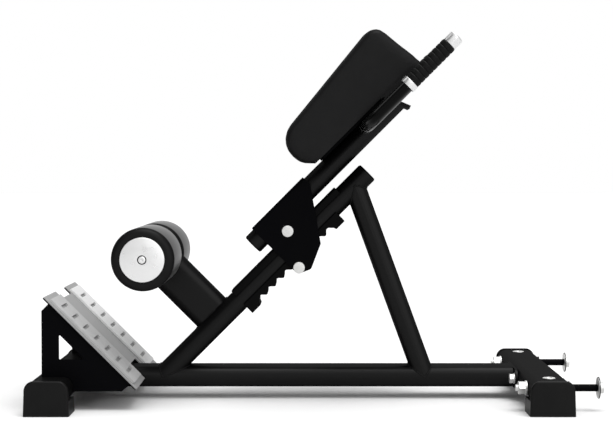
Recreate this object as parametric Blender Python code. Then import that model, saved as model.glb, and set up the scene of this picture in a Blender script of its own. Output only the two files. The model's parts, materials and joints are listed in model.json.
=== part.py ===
# Hyperextension bench: a floor frame with an inclined rail, a footplate with ankle rollers at its
# foot, and a pad carriage that slides on the rail and locks into a notched rack under it.
#
# Lengths are in metres. X runs along the bench from the footplate to the band pegs, Y points to the
# user's left, and Z is up. The origin is on the floor under the middle of the bench.
#
# Pieces on the rail are placed in the rail's own frame: x is the distance s up along the rail from
# the point where its axis crosses the top of the beam, and z is the offset n square to the rail,
# on the user's side.

import math

import bmesh
import bpy
from mathutils import Vector

# Gaps between pieces
FIT = 0.0003
RUNNING_FIT = 0.0003
BOLT_CLEARANCE = 0.0003

# Floor frame
FRONT_TUBE_X = -0.611
WHEELBASE = 1.1445
FRAME_AXIS_Z = 0.053
TUBE_WIDTH = 0.100
TUBE_DEPTH = 0.051
TUBE_WALL = 0.003
CROSS_WIDTH = 0.095
CROSS_DEPTH = 0.051
CROSS_RADIUS = 0.021
CROSS_HALF_LENGTH = 0.318

# Rubber feet
FOOT_BASE_WIDTH = 0.104
FOOT_SHOULDER_WIDTH = 0.099
FOOT_SHOULDER_RADIUS = 0.023
FOOT_RIM = 0.0023
FOOT_SHOE_HEIGHT = 0.034
FOOT_END_WALL = 0.007
FOOT_DEPTH = 0.090
FOOT_EDGE_RADIUS = 0.004
FOOT_BOLT_INSET = 0.060
FOOT_BOLT_HEAD_RADIUS = 0.0145
FOOT_BOLT_HEAD_HEIGHT = 0.0020
FOOT_BOLT_RADIUS = 0.005
FOOT_BOLT_LENGTH = 0.020

# Flange that bolts the beam to the rear cross tube
FLANGE_LENGTH = 0.176
FLANGE_HEIGHT = 0.048
FLANGE_THICKNESS = 0.006
FLANGE_BOLT_Y = 0.070
FLANGE_BOLT_RADIUS = 0.006
FLANGE_BOLT_FLATS = 0.021
FLANGE_BOLT_HEAD = 0.0125
FLANGE_BOLT_END = 0.004
FLANGE_NUT_HEIGHT = 0.012

# Band pegs
PEG_INSET = 0.0815
PEG_Z = 0.054
PEG_RADIUS = 0.0083
PEG_STUD_RADIUS = 0.0075
PEG_REACH = 0.0682
PEG_STUD_END = 0.009
PEG_NUT_FLATS = 0.0275
PEG_NUT_HEIGHT = 0.020
PEG_NUT_FLANGE_RADIUS = 0.016
PEG_NUT_FLANGE_HEIGHT = 0.004
PEG_SHOULDER_RADIUS = 0.015
PEG_SHOULDER_THICKNESS = 0.003
PEG_DISC_RADIUS = 0.025
PEG_DISC_THICKNESS = 0.003
PEG_BOLT_RADIUS = 0.004
PEG_BOLT_DEPTH = 0.020
PEG_BOLT_HEAD_RADIUS = 0.010
PEG_BOLT_HEAD_HEIGHT = 0.0105

# Footplate
FOOTPLATE_TILT = math.radians(45.0)
FOOTPLATE_TOP_X = -0.6316
FOOTPLATE_TOP_Z = 0.2605
FOOTPLATE_LENGTH = 0.3013
FOOTPLATE_OVERHANG = 0.0053
FOOTPLATE_THICKNESS = 0.0055
FOOTPLATE_CORNER = 0.004
TOP_NOTCH_HALF_WIDTH = 0.074
TOP_NOTCH_DEPTH = 0.023
BEAM_NOTCH_CLEARANCE = 0.0045
TREAD_INNER_Y = 0.082
TREAD_SIDE_MARGIN = 0.015
TREAD_END_MARGIN = 0.014
TREAD_THICKNESS = 0.005
TREAD_SLOT_COUNT = 7
TREAD_SLOT_PITCH = 0.0356
TREAD_SLOT_LENGTH = 0.0085
TREAD_SLOT_WIDTH = 0.080

# Gussets under the footplate
GUSSET_THICKNESS = 0.006
GUSSET_EDGE_MARGIN = 0.018
GUSSET_TOP_CHAMFER = 0.016
GUSSET_TOE_RUN = 0.019
GUSSET_TOE_DROP = 0.015
GUSSET_WINDOW_SIDE = 0.059
GUSSET_WINDOW_INSET = 0.040
GUSSET_WINDOW_Z = 0.119

# Inclined rail and its strut
RAIL_ANGLE = math.radians(45.0)
RAIL_SETBACK = 0.2642
STRUT_ABOVE_RACK = 0.0784
RAIL_PAST_STRUT = 0.04246
STRUT_LEAN = math.radians(20.1)
PLUG_FLANGE = 0.002
PLUG_INSET = 0.0012
PLUG_DEPTH = 0.015

# Wear strip on top of the rail, and notched rack under it
SADDLE_HALF_WIDTH = 0.050
STRIP_START = 0.230
STRIP_END = 0.585
STRIP_TOP = 0.0304
STRIP_FLANK = 0.012
RACK_START = 0.2291
RACK_END_BLOCK = 0.0433
RACK_BLOCK_RUN = 0.0153
RACK_FLANK = -0.0138
RACK_BLOCK_TIP = -0.0439
NOTCH_APEX = -0.02407
NOTCH_COUNT = 9
NOTCH_PITCH = 0.02868
NOTCH_RADIUS = 0.0066
TOOTH_RADIUS = 0.0044
LOCK_NOTCH = 4

# Ankle rollers
ROLLER_S = 0.1551
ROLLER_HEIGHT = 0.230
ROLLER_ARM_TOP = 0.276
ROLLER_RADIUS = 0.0735
ROLLER_END_RADIUS = 0.016
ROLLER_GAP = 0.054
ROLLER_OUTER_Y = 0.2555
CORE_WALL = 0.0035
AXLE_RADIUS = 0.0125
DISC_RADIUS = 0.0515
DISC_RIM = 0.0025
DISC_DOME = 0.0060
DISC_FLAT_RADIUS = 0.014
DISC_RECESS_GAP = 0.0008
DISC_RECESS_DEPTH = 0.0036
ROLLER_BOLT_RADIUS = 0.005
ROLLER_BOLT_DEPTH = 0.022
ROLLER_BOLT_HEAD_RADIUS = 0.0104
ROLLER_BOLT_HEAD_HEIGHT = 0.0036

# Carriage bracket, measured from the guide pin along the rail
PIN_SPACING_S = 0.043
GUIDE_PIN_RADIUS = 0.006
GUIDE_NECK_RADIUS = 0.0045
LOCK_BAR_GAP = 0.0007
LOCK_BAR_RADIUS = 0.0080
LOCK_NECK_RADIUS = 0.0045
PIN_HEAD_RADIUS = 0.014
PIN_HEAD_HEIGHT = 0.004
BRACKET_OUTER_Y = 0.056
BRACKET_PLATE = 0.0045
BRACKET_FOLD_RADIUS = 0.009
BRACKET_LOW_S = -0.0567
BRACKET_HIGH_S = 0.1171
BRACKET_SHOULDER = (0.1200, 0.0799)
BRACKET_HIP = (0.0355, -0.0415)
BRACKET_CHIN = (-0.0247, -0.0685)

# Upper tube that carries the pads and the handles
UPPER_TUBE_HEIGHT = 0.0728
UPPER_TUBE_LOW_S = -0.0823
UPPER_TUBE_HIGH_S = 0.4043
UPPER_END_TILT = math.radians(22.0)
END_PLATE_THICKNESS = 0.008
END_PLATE_LIP = 0.010
END_PLATE_HALF_WIDTH = 0.040

# Pads on their mounting plate
PAD_PLATE_LOW_S = 0.180
PAD_PLATE_HIGH_S = 0.3790
PAD_PLATE_HALF_WIDTH = 0.170
PAD_PLATE_THICKNESS = 0.0060
PAD_PLATE_CORNER = 0.020
PAD_INNER_Y = 0.052
PAD_OUTER_Y = 0.206
PAD_NOSE_CENTRE_S = 0.1901
PAD_NOSE_RADIUS = 0.0529
PAD_NOSE_BASE_RADIUS = 0.0455
PAD_LOW_HEIGHT = 0.0991
PAD_HIGH_HEIGHT = 0.1333
PAD_TOP_S = 0.4862
PAD_BASE_HIGH_S = 0.5040
PAD_TOP_RADIUS = 0.0289
PAD_HEEL_DROP = 0.0090
PAD_STEP_GAP = 0.0050
PAD_HEEL_RADIUS = 0.008
PAD_EDGE_RADIUS = 0.014
PAD_CROWN = 0.004
PAD_SIDE_DRAW = 0.0015
BOARD_THICKNESS = 0.012
BOARD_MARGIN = 0.016
BOARD_CORNER = 0.030

# Handles
HANDLE_HEIGHT = 0.0815
HANDLE_S = 0.3110
HANDLE_Y = 0.250
HANDLE_RADIUS = 0.015
HANDLE_WALL = 0.0025
HANDLE_BEND_RADIUS = 0.034
COLLAR_LOW_S = 0.4350
COLLAR_LENGTH = 0.015
COLLAR_RADIUS = 0.0195
GRIP_LENGTH = 0.1195
GRIP_RADIUS = 0.0185
GRIP_GROOVE_DEPTH = 0.0013
GRIP_RIB_COUNT = 8
END_CAP_LENGTH = 0.0265
END_CAP_RADIUS = 0.0178
END_CAP_EDGE = 0.003
END_CAP_SPIGOT = 0.020

ROUND_STEPS = 16

# Values worked out from the sizes above
REAR_TUBE_X = FRONT_TUBE_X + WHEELBASE
BEAM_TOP_Z = FRAME_AXIS_Z + TUBE_DEPTH / 2
CROSS_TOP_Z = FRAME_AXIS_Z + CROSS_DEPTH / 2
FOOT_TOP_Z = CROSS_TOP_Z + FOOT_RIM
FOOT_OUTER_Y = CROSS_HALF_LENGTH + FOOT_END_WALL
FOOT_INNER_Y = FOOT_OUTER_Y - FOOT_DEPTH
FOOT_BOLT_Y = CROSS_HALF_LENGTH - FOOT_BOLT_INSET
PEG_Y = CROSS_HALF_LENGTH - PEG_INSET
GUSSET_OUTER_Y = FOOT_INNER_Y - FIT
FOOTPLATE_HALF_WIDTH = GUSSET_OUTER_Y + FOOTPLATE_OVERHANG
TREAD_OUTER_Y = FOOTPLATE_HALF_WIDTH - TREAD_SIDE_MARGIN
RAIL_FOOT_X = FRONT_TUBE_X + RAIL_SETBACK
TOOTH_APEX = NOTCH_APEX - NOTCH_PITCH / 2
TOOTH_TIP = TOOTH_APEX + TOOTH_RADIUS * (math.sqrt(2) - 1)
RACK_END = RACK_START + 2 * RACK_END_BLOCK + (NOTCH_COUNT - 1) * NOTCH_PITCH
STRUT_TOP_S = RACK_END + STRUT_ABOVE_RACK
RAIL_LENGTH = STRUT_TOP_S + RAIL_PAST_STRUT
STRUT_LENGTH = STRUT_TOP_S * math.sin(RAIL_ANGLE) / math.cos(STRUT_LEAN)
STRUT_FOOT_X = RAIL_FOOT_X + STRUT_TOP_S * math.cos(RAIL_ANGLE) + STRUT_LENGTH * math.sin(STRUT_LEAN)
GUIDE_PIN_HEIGHT = STRIP_TOP + FIT + GUIDE_PIN_RADIUS
LOCK_BAR_HEIGHT = TOOTH_TIP - LOCK_BAR_GAP - LOCK_BAR_RADIUS
LOCK_BAR_SEAT_HEIGHT = NOTCH_APEX - (LOCK_BAR_RADIUS + FIT) * math.sqrt(2)
LOCK_TRAVEL = LOCK_BAR_SEAT_HEIGHT - LOCK_BAR_HEIGHT
CARRIAGE_S = RACK_START + RACK_END_BLOCK + LOCK_NOTCH * NOTCH_PITCH + PIN_SPACING_S
BRACKET_INNER_Y = BRACKET_OUTER_Y - BRACKET_PLATE
UPPER_TUBE_TOP = UPPER_TUBE_HEIGHT + TUBE_DEPTH / 2
BRACKET_TOP = UPPER_TUBE_TOP + FIT + BRACKET_PLATE
PAD_PLATE_TOP = UPPER_TUBE_TOP + FIT + PAD_PLATE_THICKNESS
PAD_BASE_HEIGHT = PAD_PLATE_TOP + FIT
PAD_HEEL_HEIGHT = PAD_BASE_HEIGHT - PAD_HEEL_DROP
PAD_STEP_S = PAD_PLATE_HIGH_S + PAD_STEP_GAP
CORE_INNER_RADIUS = AXLE_RADIUS + RUNNING_FIT
CORE_OUTER_RADIUS = CORE_INNER_RADIUS + CORE_WALL
ROLLER_INNER_Y = ROLLER_GAP / 2
AXLE_END_Y = ROLLER_OUTER_Y + FIT
DISC_FACE_Y = AXLE_END_Y + FIT
GRIP_LOW_S = COLLAR_LOW_S + COLLAR_LENGTH + FIT
GRIP_HIGH_S = GRIP_LOW_S + GRIP_LENGTH
SIDES = (("left", 1), ("right", -1))

# Finishes: colour, roughness, metallic
BLACK_COAT = ((0.018, 0.018, 0.019), 0.38, 0.0)
BLACK_RUBBER = ((0.022, 0.022, 0.022), 0.75, 0.0)
BLACK_FOAM = ((0.025, 0.025, 0.026), 0.85, 0.0)
BLACK_VINYL = ((0.020, 0.020, 0.021), 0.50, 0.0)
BLACK_PLASTIC = ((0.015, 0.015, 0.016), 0.45, 0.0)
ZINC = ((0.72, 0.72, 0.72), 0.30, 1.0)
SATIN_ALUMINIUM = ((0.82, 0.82, 0.82), 0.28, 1.0)
GREY_COAT = ((0.33, 0.33, 0.33), 0.70, 0.0)
PALE_TREAD = ((0.62, 0.62, 0.62), 0.65, 0.0)
PLYWOOD = ((0.030, 0.024, 0.020), 0.70, 0.0)


def clear_scene():
    for obj in list(bpy.data.objects):
        bpy.data.objects.remove(obj, do_unlink=True)


# Outlines: lists of points in a plane, anticlockwise

def arc(centre, radius, start, end, steps):
    points = []
    for step in range(steps + 1):
        angle = math.radians(start + (end - start) * step / steps)
        points.append((centre[0] + radius * math.cos(angle), centre[1] + radius * math.sin(angle)))
    return points


def circle(radius, steps=ROUND_STEPS):
    return arc((0.0, 0.0), radius, 0.0, 360.0, steps)[:-1]


def rounded(corners, steps=4):
    """Polygon whose corners (x, y, radius) are rounded by arcs; a radius of 0 stays sharp."""
    points = []
    count = len(corners)
    for index in range(count):
        x, y, radius = corners[index]
        here = Vector((x, y))
        if radius == 0:
            points.append((x, y))
            continue
        before = (Vector(corners[index - 1][:2]) - here).normalized()
        after = (Vector(corners[(index + 1) % count][:2]) - here).normalized()
        half_angle = before.angle(after) / 2
        bisector = (before + after).normalized()
        centre = here + bisector * (radius / math.sin(half_angle))
        start = here + before * (radius / math.tan(half_angle)) - centre
        end = here + after * (radius / math.tan(half_angle)) - centre
        turn = start.angle_signed(end)
        for step in range(steps + 1):
            angle = -turn * step / steps
            points.append((
                centre.x + start.x * math.cos(angle) - start.y * math.sin(angle),
                centre.y + start.x * math.sin(angle) + start.y * math.cos(angle),
            ))
    return points


def rounded_box(width, height, radius, steps=4):
    x = width / 2
    y = height / 2
    return rounded([(-x, -y, radius), (x, -y, radius), (x, y, radius), (-x, y, radius)], steps)


def tube_outline(grow=0.0):
    """Flat-oval tube section, wide across Y, moved outward by grow."""
    width = TUBE_WIDTH + 2 * grow
    depth = TUBE_DEPTH + 2 * grow
    return rounded_box(width, depth, depth / 2 * 0.998, 7)


def cross_outline(grow=0.0):
    """Rounded section of the two cross tubes, moved outward by grow."""
    return rounded_box(CROSS_WIDTH + 2 * grow, CROSS_DEPTH + 2 * grow, CROSS_RADIUS + grow, 6)


def hexagon(across_flats):
    """Hexagon with the middle of each flat, so that it joins a ring of 12 points."""
    corner = across_flats / math.sqrt(3)
    points = []
    for step in range(12):
        radius = corner if step % 2 == 0 else across_flats / 2
        angle = math.radians(30 * step)
        points.append((radius * math.cos(angle), radius * math.sin(angle)))
    return points


def shifted(outline, dx, dy):
    return [(x + dx, y + dy) for x, y in outline]


def turned_quarter(outline):
    return [(-y, x) for x, y in outline]


# Solids: each function adds one closed body to a bmesh

def place(axis, along, u, v):
    """Point at a distance along an axis, with u and v on the next two axes of the plane."""
    if axis == "X":
        return (along, u, v)
    if axis == "Y":
        return (u, along, v)
    return (u, v, along)


def add_stack(mesh, axis, sections):
    """Loft through sections (position, outline), closed by a face at each end."""
    rings = []
    for along, outline in sections:
        rings.append([mesh.verts.new(place(axis, along, u, v)) for u, v in outline])
    count = len(rings[0])
    for low, high in zip(rings, rings[1:]):
        for index in range(count):
            following = (index + 1) % count
            mesh.faces.new((low[index], low[following], high[following], high[index]))
    mesh.faces.new(rings[0][::-1])
    mesh.faces.new(rings[-1])


def add_prism(mesh, axis, low, high, outline):
    add_stack(mesh, axis, [(low, outline), (high, outline)])


def add_ring(mesh, axis, sections):
    """Body with a hole through it, from sections (position, outline) in a closed round."""
    loops = []
    for along, outline in sections:
        loops.append([mesh.verts.new(place(axis, along, u, v)) for u, v in outline])
    for near, far in zip(loops, loops[1:] + loops[:1]):
        for index in range(len(near)):
            following = (index + 1) % len(near)
            mesh.faces.new((near[index], near[following], far[following], far[index]))


def add_pipe(mesh, axis, low, high, outer, inner):
    """Open tube between two outlines that have the same number of points."""
    add_ring(mesh, axis, [(low, outer), (high, outer), (high, inner), (low, inner)])


def add_turned(mesh, axis, profile, centre=(0.0, 0.0), steps=ROUND_STEPS, closed=False):
    """Turn a profile of (along, radius) points round an axis. A closed profile makes a ring."""
    rings = []
    for along, radius in profile:
        if radius == 0:
            rings.append([mesh.verts.new(place(axis, along, *centre))])
            continue
        ring = []
        for u, v in circle(radius, steps):
            ring.append(mesh.verts.new(place(axis, along, u + centre[0], v + centre[1])))
        rings.append(ring)
    pairs = list(zip(rings, rings[1:]))
    if closed:
        pairs.append((rings[-1], rings[0]))
    for low, high in pairs:
        for index in range(steps):
            following = (index + 1) % steps
            corners = [low[index % len(low)], low[following % len(low)]]
            corners += [high[following % len(high)], high[index % len(high)]]
            unique = list(dict.fromkeys(corners))
            mesh.faces.new(unique)


# Objects

def make(name, mesh, finish=None, parent=None, location=(0.0, 0.0, 0.0), turn=0.0):
    """Object from a bmesh, turned about Y, with a material of its own."""
    bmesh.ops.recalc_face_normals(mesh, faces=mesh.faces)
    data = bpy.data.meshes.new(name)
    mesh.to_mesh(data)
    mesh.free()
    data.shade_smooth()
    data.set_sharp_from_angle(angle=math.radians(35))
    obj = bpy.data.objects.new(name, data)
    bpy.context.scene.collection.objects.link(obj)
    obj.parent = parent
    obj.location = location
    obj.rotation_euler = (0.0, turn, 0.0)
    if finish:
        colour, roughness, metallic = finish
        material = bpy.data.materials.new(name + "_finish")
        material.use_nodes = True
        shader = material.node_tree.nodes["Principled BSDF"]
        shader.inputs["Base Color"].default_value = (*colour, 1.0)
        shader.inputs["Roughness"].default_value = roughness
        shader.inputs["Metallic"].default_value = metallic
        data.materials.append(material)
    return obj


def make_cutter(name, mesh, parent=None, location=(0.0, 0.0, 0.0), turn=0.0):
    cutter = make(name, mesh, None, parent, location, turn)
    cutter.hide_render = True
    cutter.display_type = "WIRE"
    return cutter


def combine(obj, other, operation="DIFFERENCE"):
    modifier = obj.modifiers.new(operation.title() + " " + other.name, "BOOLEAN")
    modifier.operation = operation
    modifier.solver = "EXACT"
    modifier.object = other


def make_frame(name, location, turn=0.0, parent=None):
    """Empty that carries a moving group, or a group on a slope."""
    empty = bpy.data.objects.new(name, None)
    bpy.context.scene.collection.objects.link(empty)
    empty.parent = parent
    empty.location = location
    empty.rotation_euler = (0.0, turn, 0.0)
    empty.empty_display_size = 0.05
    return empty


# Floor frame

def cross_tube_envelope(name, x):
    mesh = bmesh.new()
    reach = CROSS_HALF_LENGTH + FIT
    add_prism(mesh, "Y", -reach, reach, cross_outline(FIT))
    return make_cutter(name, mesh, location=(x, 0.0, FRAME_AXIS_Z))


def beam_envelope():
    mesh = bmesh.new()
    add_prism(mesh, "X", 0.0, WHEELBASE, tube_outline(FIT))
    return make_cutter("beam_envelope", mesh, location=(FRONT_TUBE_X, 0.0, FRAME_AXIS_Z))


def rear_tube_holes():
    """Holes of the rear cross tube: flange bolts and pegs along X, foot bolts from above."""
    mesh = bmesh.new()
    reach = CROSS_WIDTH
    for _, side in SIDES:
        bolt_hole = (FLANGE_BOLT_Y, FRAME_AXIS_Z, FLANGE_BOLT_RADIUS)
        peg_hole = (PEG_Y, PEG_Z, PEG_STUD_RADIUS)
        for y, z, radius in (bolt_hole, peg_hole):
            hole = shifted(circle(radius + BOLT_CLEARANCE, 12), side * y, z - FRAME_AXIS_Z)
            add_prism(mesh, "X", -reach, reach, hole)
        hole = shifted(circle(FOOT_BOLT_RADIUS + BOLT_CLEARANCE, 12), 0.0, side * FOOT_BOLT_Y)
        add_prism(mesh, "Z", 0.0, CROSS_DEPTH, hole)
    return make_cutter("rear_tube_holes", mesh, location=(REAR_TUBE_X, 0.0, FRAME_AXIS_Z))


def make_cross_tube(name, x):
    mesh = bmesh.new()
    outer = cross_outline()
    inner = cross_outline(-TUBE_WALL)
    add_pipe(mesh, "Y", -CROSS_HALF_LENGTH, CROSS_HALF_LENGTH, outer, inner)
    return make(name, mesh, BLACK_COAT, location=(x, 0.0, FRAME_AXIS_Z))


def make_beam(front_envelope, holes):
    """Beam with the bolting flange welded to its rear end."""
    mesh = bmesh.new()
    rear_end = WHEELBASE - CROSS_WIDTH / 2 - FIT
    plate_front = rear_end - FLANGE_THICKNESS
    add_pipe(mesh, "X", 0.0, plate_front + FLANGE_THICKNESS / 3, tube_outline(), tube_outline(-TUBE_WALL))
    beam = make("main_beam", mesh, BLACK_COAT, location=(FRONT_TUBE_X, 0.0, FRAME_AXIS_Z))
    combine(beam, front_envelope)
    plate = bmesh.new()
    outline = rounded_box(FLANGE_LENGTH, FLANGE_HEIGHT, FLANGE_HEIGHT / 2 * 0.99, 6)
    add_prism(plate, "X", plate_front, rear_end, outline)
    flange = make_cutter("beam_flange", plate, location=(FRONT_TUBE_X, 0.0, FRAME_AXIS_Z))
    combine(beam, flange, "UNION")
    combine(beam, holes)


def make_flange_bolts():
    front = REAR_TUBE_X - CROSS_WIDTH / 2 - 2 * FIT - FLANGE_THICKNESS
    back = REAR_TUBE_X + CROSS_WIDTH / 2 + FIT
    end = back + FLANGE_NUT_HEIGHT + FLANGE_BOLT_END
    head = hexagon(FLANGE_BOLT_FLATS)
    shank = circle(FLANGE_BOLT_RADIUS, 12)
    bore = circle(FLANGE_BOLT_RADIUS + BOLT_CLEARANCE, 12)
    for side_name, side in SIDES:
        place_on = (0.0, side * FLANGE_BOLT_Y, FRAME_AXIS_Z)
        bolt = bmesh.new()
        head_top = front - FLANGE_BOLT_HEAD
        add_stack(bolt, "X", [(head_top, head), (front, head), (front, shank), (end, shank)])
        make(side_name + "_flange_bolt", bolt, ZINC, location=place_on)
        nut = bmesh.new()
        add_pipe(nut, "X", back, back + FLANGE_NUT_HEIGHT, head, bore)
        make(side_name + "_flange_nut", nut, ZINC, location=place_on)


def foot_outline(inset=0.0):
    """Section of a rubber foot, seen along Y, with its base on the floor."""
    base = FOOT_BASE_WIDTH / 2 - inset
    shoulder = FOOT_SHOULDER_WIDTH / 2 - inset
    top = FOOT_TOP_Z - inset
    radius = FOOT_SHOULDER_RADIUS - inset
    corners = [(-base, 0.0, 0.0), (base, 0.0, 0.0), (shoulder, top, radius), (-shoulder, top, radius)]
    return rounded(corners, 6)


def make_feet(envelopes):
    """Rubber feet: a full-height end wall and a low shoe under the tube."""
    for end, x in (("front", FRONT_TUBE_X), ("rear", REAR_TUBE_X)):
        for side_name, side in SIDES:
            mesh = bmesh.new()
            rim = FOOT_OUTER_Y - FOOT_EDGE_RADIUS
            softened = FOOT_OUTER_Y - FOOT_EDGE_RADIUS * 0.3
            sections = [
                (side * FOOT_INNER_Y, foot_outline()),
                (side * rim, foot_outline()),
                (side * softened, foot_outline(FOOT_EDGE_RADIUS * 0.3)),
                (side * FOOT_OUTER_Y, foot_outline(FOOT_EDGE_RADIUS)),
            ]
            add_stack(mesh, "Y", sections)
            foot = make(end + "_" + side_name + "_foot", mesh, BLACK_RUBBER, location=(x, 0.0, 0.0))
            combine(foot, envelopes[end])
            above = bmesh.new()
            ends = sorted((side * (FOOT_INNER_Y - FOOT_END_WALL), side * (CROSS_HALF_LENGTH + FIT)))
            reach = FOOT_BASE_WIDTH
            shoe_top = shifted(rounded_box(2 * reach, reach, 0.0), 0.0, FOOT_SHOE_HEIGHT + reach / 2)
            add_prism(above, "Y", ends[0], ends[1], shoe_top)
            combine(foot, make_cutter(end + "_" + side_name + "_shoe_top", above, location=(x, 0.0, 0.0)))


def make_rear_foot_bolts():
    seat = CROSS_TOP_Z + FIT
    profile = [
        (FOOT_BOLT_HEAD_HEIGHT, 0.0),
        (FOOT_BOLT_HEAD_HEIGHT, FOOT_BOLT_HEAD_RADIUS * 0.92),
        (FOOT_BOLT_HEAD_HEIGHT * 0.5, FOOT_BOLT_HEAD_RADIUS),
        (0.0, FOOT_BOLT_HEAD_RADIUS),
        (0.0, FOOT_BOLT_RADIUS),
        (-FOOT_BOLT_LENGTH, FOOT_BOLT_RADIUS),
        (-FOOT_BOLT_LENGTH, 0.0),
    ]
    for side_name, side in SIDES:
        mesh = bmesh.new()
        add_turned(mesh, "Z", profile)
        location = (REAR_TUBE_X, side * FOOT_BOLT_Y, seat)
        make(side_name + "_rear_foot_bolt", mesh, ZINC, location=location)


def make_band_pegs():
    """Band pegs behind the rear cross tube, each a stud with a shoulder, a nut and an end disc."""
    back = CROSS_WIDTH / 2
    shoulder_low = back + FIT
    shoulder_high = shoulder_low + PEG_SHOULDER_THICKNESS
    tip = back + PEG_REACH
    nut_high = -back - FIT
    nut_low = nut_high - PEG_NUT_HEIGHT
    bore = PEG_BOLT_RADIUS + BOLT_CLEARANCE
    peg_profile = [
        (nut_low - PEG_STUD_END, 0.0),
        (nut_low - PEG_STUD_END, PEG_STUD_RADIUS),
        (shoulder_low, PEG_STUD_RADIUS),
        (shoulder_low, PEG_SHOULDER_RADIUS),
        (shoulder_high, PEG_SHOULDER_RADIUS),
        (shoulder_high, PEG_RADIUS),
        (tip, PEG_RADIUS),
        (tip, bore),
        (tip - PEG_BOLT_DEPTH, bore),
        (tip - PEG_BOLT_DEPTH, 0.0),
    ]
    disc_low = tip + FIT
    disc_high = disc_low + PEG_DISC_THICKNESS
    edge = PEG_DISC_THICKNESS / 3
    disc_profile = [
        (tip - PEG_BOLT_DEPTH + 2 * FIT, 0.0),
        (tip - PEG_BOLT_DEPTH + 2 * FIT, PEG_BOLT_RADIUS),
        (disc_low, PEG_BOLT_RADIUS),
        (disc_low, PEG_DISC_RADIUS - edge),
        (disc_low + edge, PEG_DISC_RADIUS),
        (disc_high - edge, PEG_DISC_RADIUS),
        (disc_high, PEG_DISC_RADIUS - edge),
        (disc_high, PEG_BOLT_HEAD_RADIUS),
        (disc_high + PEG_BOLT_HEAD_HEIGHT * 0.75, PEG_BOLT_HEAD_RADIUS),
        (disc_high + PEG_BOLT_HEAD_HEIGHT, PEG_BOLT_HEAD_RADIUS * 0.75),
        (disc_high + PEG_BOLT_HEAD_HEIGHT, 0.0),
    ]
    nut_bore = circle(PEG_STUD_RADIUS + BOLT_CLEARANCE, 12)
    nut_flange = circle(PEG_NUT_FLANGE_RADIUS, 12)
    nut_hexagon = hexagon(PEG_NUT_FLATS)
    flange_low = nut_high - PEG_NUT_FLANGE_HEIGHT
    for side_name, side in SIDES:
        location = (REAR_TUBE_X, side * PEG_Y, PEG_Z)
        peg = bmesh.new()
        add_turned(peg, "X", peg_profile, steps=16)
        make(side_name + "_band_peg", peg, BLACK_COAT, location=location)
        nut = bmesh.new()
        add_ring(nut, "X", [
            (nut_low, nut_hexagon),
            (flange_low, nut_hexagon),
            (flange_low, nut_flange),
            (nut_high, nut_flange),
            (nut_high, nut_bore),
            (nut_low, nut_bore),
        ])
        make(side_name + "_peg_nut", nut, ZINC, location=location)
        disc = bmesh.new()
        add_turned(disc, "X", disc_profile)
        make(side_name + "_peg_disc", disc, ZINC, location=location)


# Footplate, in a frame whose x runs down the slope from the top edge and whose z faces the user

def plate_point(distance):
    """World X and Z on the plate's underside, at a distance down from its top edge."""
    x = FOOTPLATE_TOP_X + distance * math.cos(FOOTPLATE_TILT)
    z = FOOTPLATE_TOP_Z - distance * math.sin(FOOTPLATE_TILT)
    return x, z


def footplate_outline():
    """Plate outline with the notch in its top edge and the one that clears the beam."""
    length = FOOTPLATE_LENGTH
    width = FOOTPLATE_HALF_WIDTH
    corner = FOOTPLATE_CORNER
    clear_z = BEAM_TOP_Z + BEAM_NOTCH_CLEARANCE
    beam_notch = (FOOTPLATE_TOP_Z - clear_z) / math.sin(FOOTPLATE_TILT)
    beam_side = TUBE_WIDTH / 2 + BEAM_NOTCH_CLEARANCE
    return rounded([
        (0.0, -width, corner),
        (length, -width, corner),
        (length, -beam_side, corner),
        (beam_notch, -beam_side, corner),
        (beam_notch, beam_side, corner),
        (length, beam_side, corner),
        (length, width, corner),
        (0.0, width, corner),
        (0.0, TOP_NOTCH_HALF_WIDTH, corner),
        (TOP_NOTCH_DEPTH, TOP_NOTCH_HALF_WIDTH, corner),
        (TOP_NOTCH_DEPTH, -TOP_NOTCH_HALF_WIDTH, corner),
        (0.0, -TOP_NOTCH_HALF_WIDTH, corner),
    ], 2)


def make_footplate():
    frame = make_frame("footplate_slope", (FOOTPLATE_TOP_X, 0.0, FOOTPLATE_TOP_Z), FOOTPLATE_TILT)
    outline = footplate_outline()
    plate = bmesh.new()
    add_prism(plate, "Z", FIT, FIT + FOOTPLATE_THICKNESS, outline)
    make("footplate", plate, GREY_COAT, frame)
    tread_length = FOOTPLATE_LENGTH - 2 * TREAD_END_MARGIN
    tread_width = TREAD_OUTER_Y - TREAD_INNER_Y
    middle_x = FOOTPLATE_LENGTH / 2
    middle_y = (TREAD_OUTER_Y + TREAD_INNER_Y) / 2
    tread_low = FOOTPLATE_THICKNESS + 2 * FIT
    tread_outline = rounded_box(tread_length, tread_width, FOOTPLATE_CORNER, 2)
    for side_name, side in SIDES:
        strip = bmesh.new()
        add_prism(strip, "Z", 0.0, TREAD_THICKNESS, tread_outline)
        location = (middle_x, side * middle_y, tread_low)
        tread = make(side_name + "_tread_strip", strip, PALE_TREAD, frame, location)
        slots = bmesh.new()
        for index in range(TREAD_SLOT_COUNT):
            along = (index - (TREAD_SLOT_COUNT - 1) / 2) * TREAD_SLOT_PITCH
            slot = rounded_box(TREAD_SLOT_LENGTH, TREAD_SLOT_WIDTH, TREAD_SLOT_LENGTH * 0.2, 1)
            add_prism(slots, "Z", -TREAD_THICKNESS, 2 * TREAD_THICKNESS, shifted(slot, along, 0.0))
        combine(tread, make_cutter(side_name + "_tread_slots", slots, frame, location))


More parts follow.
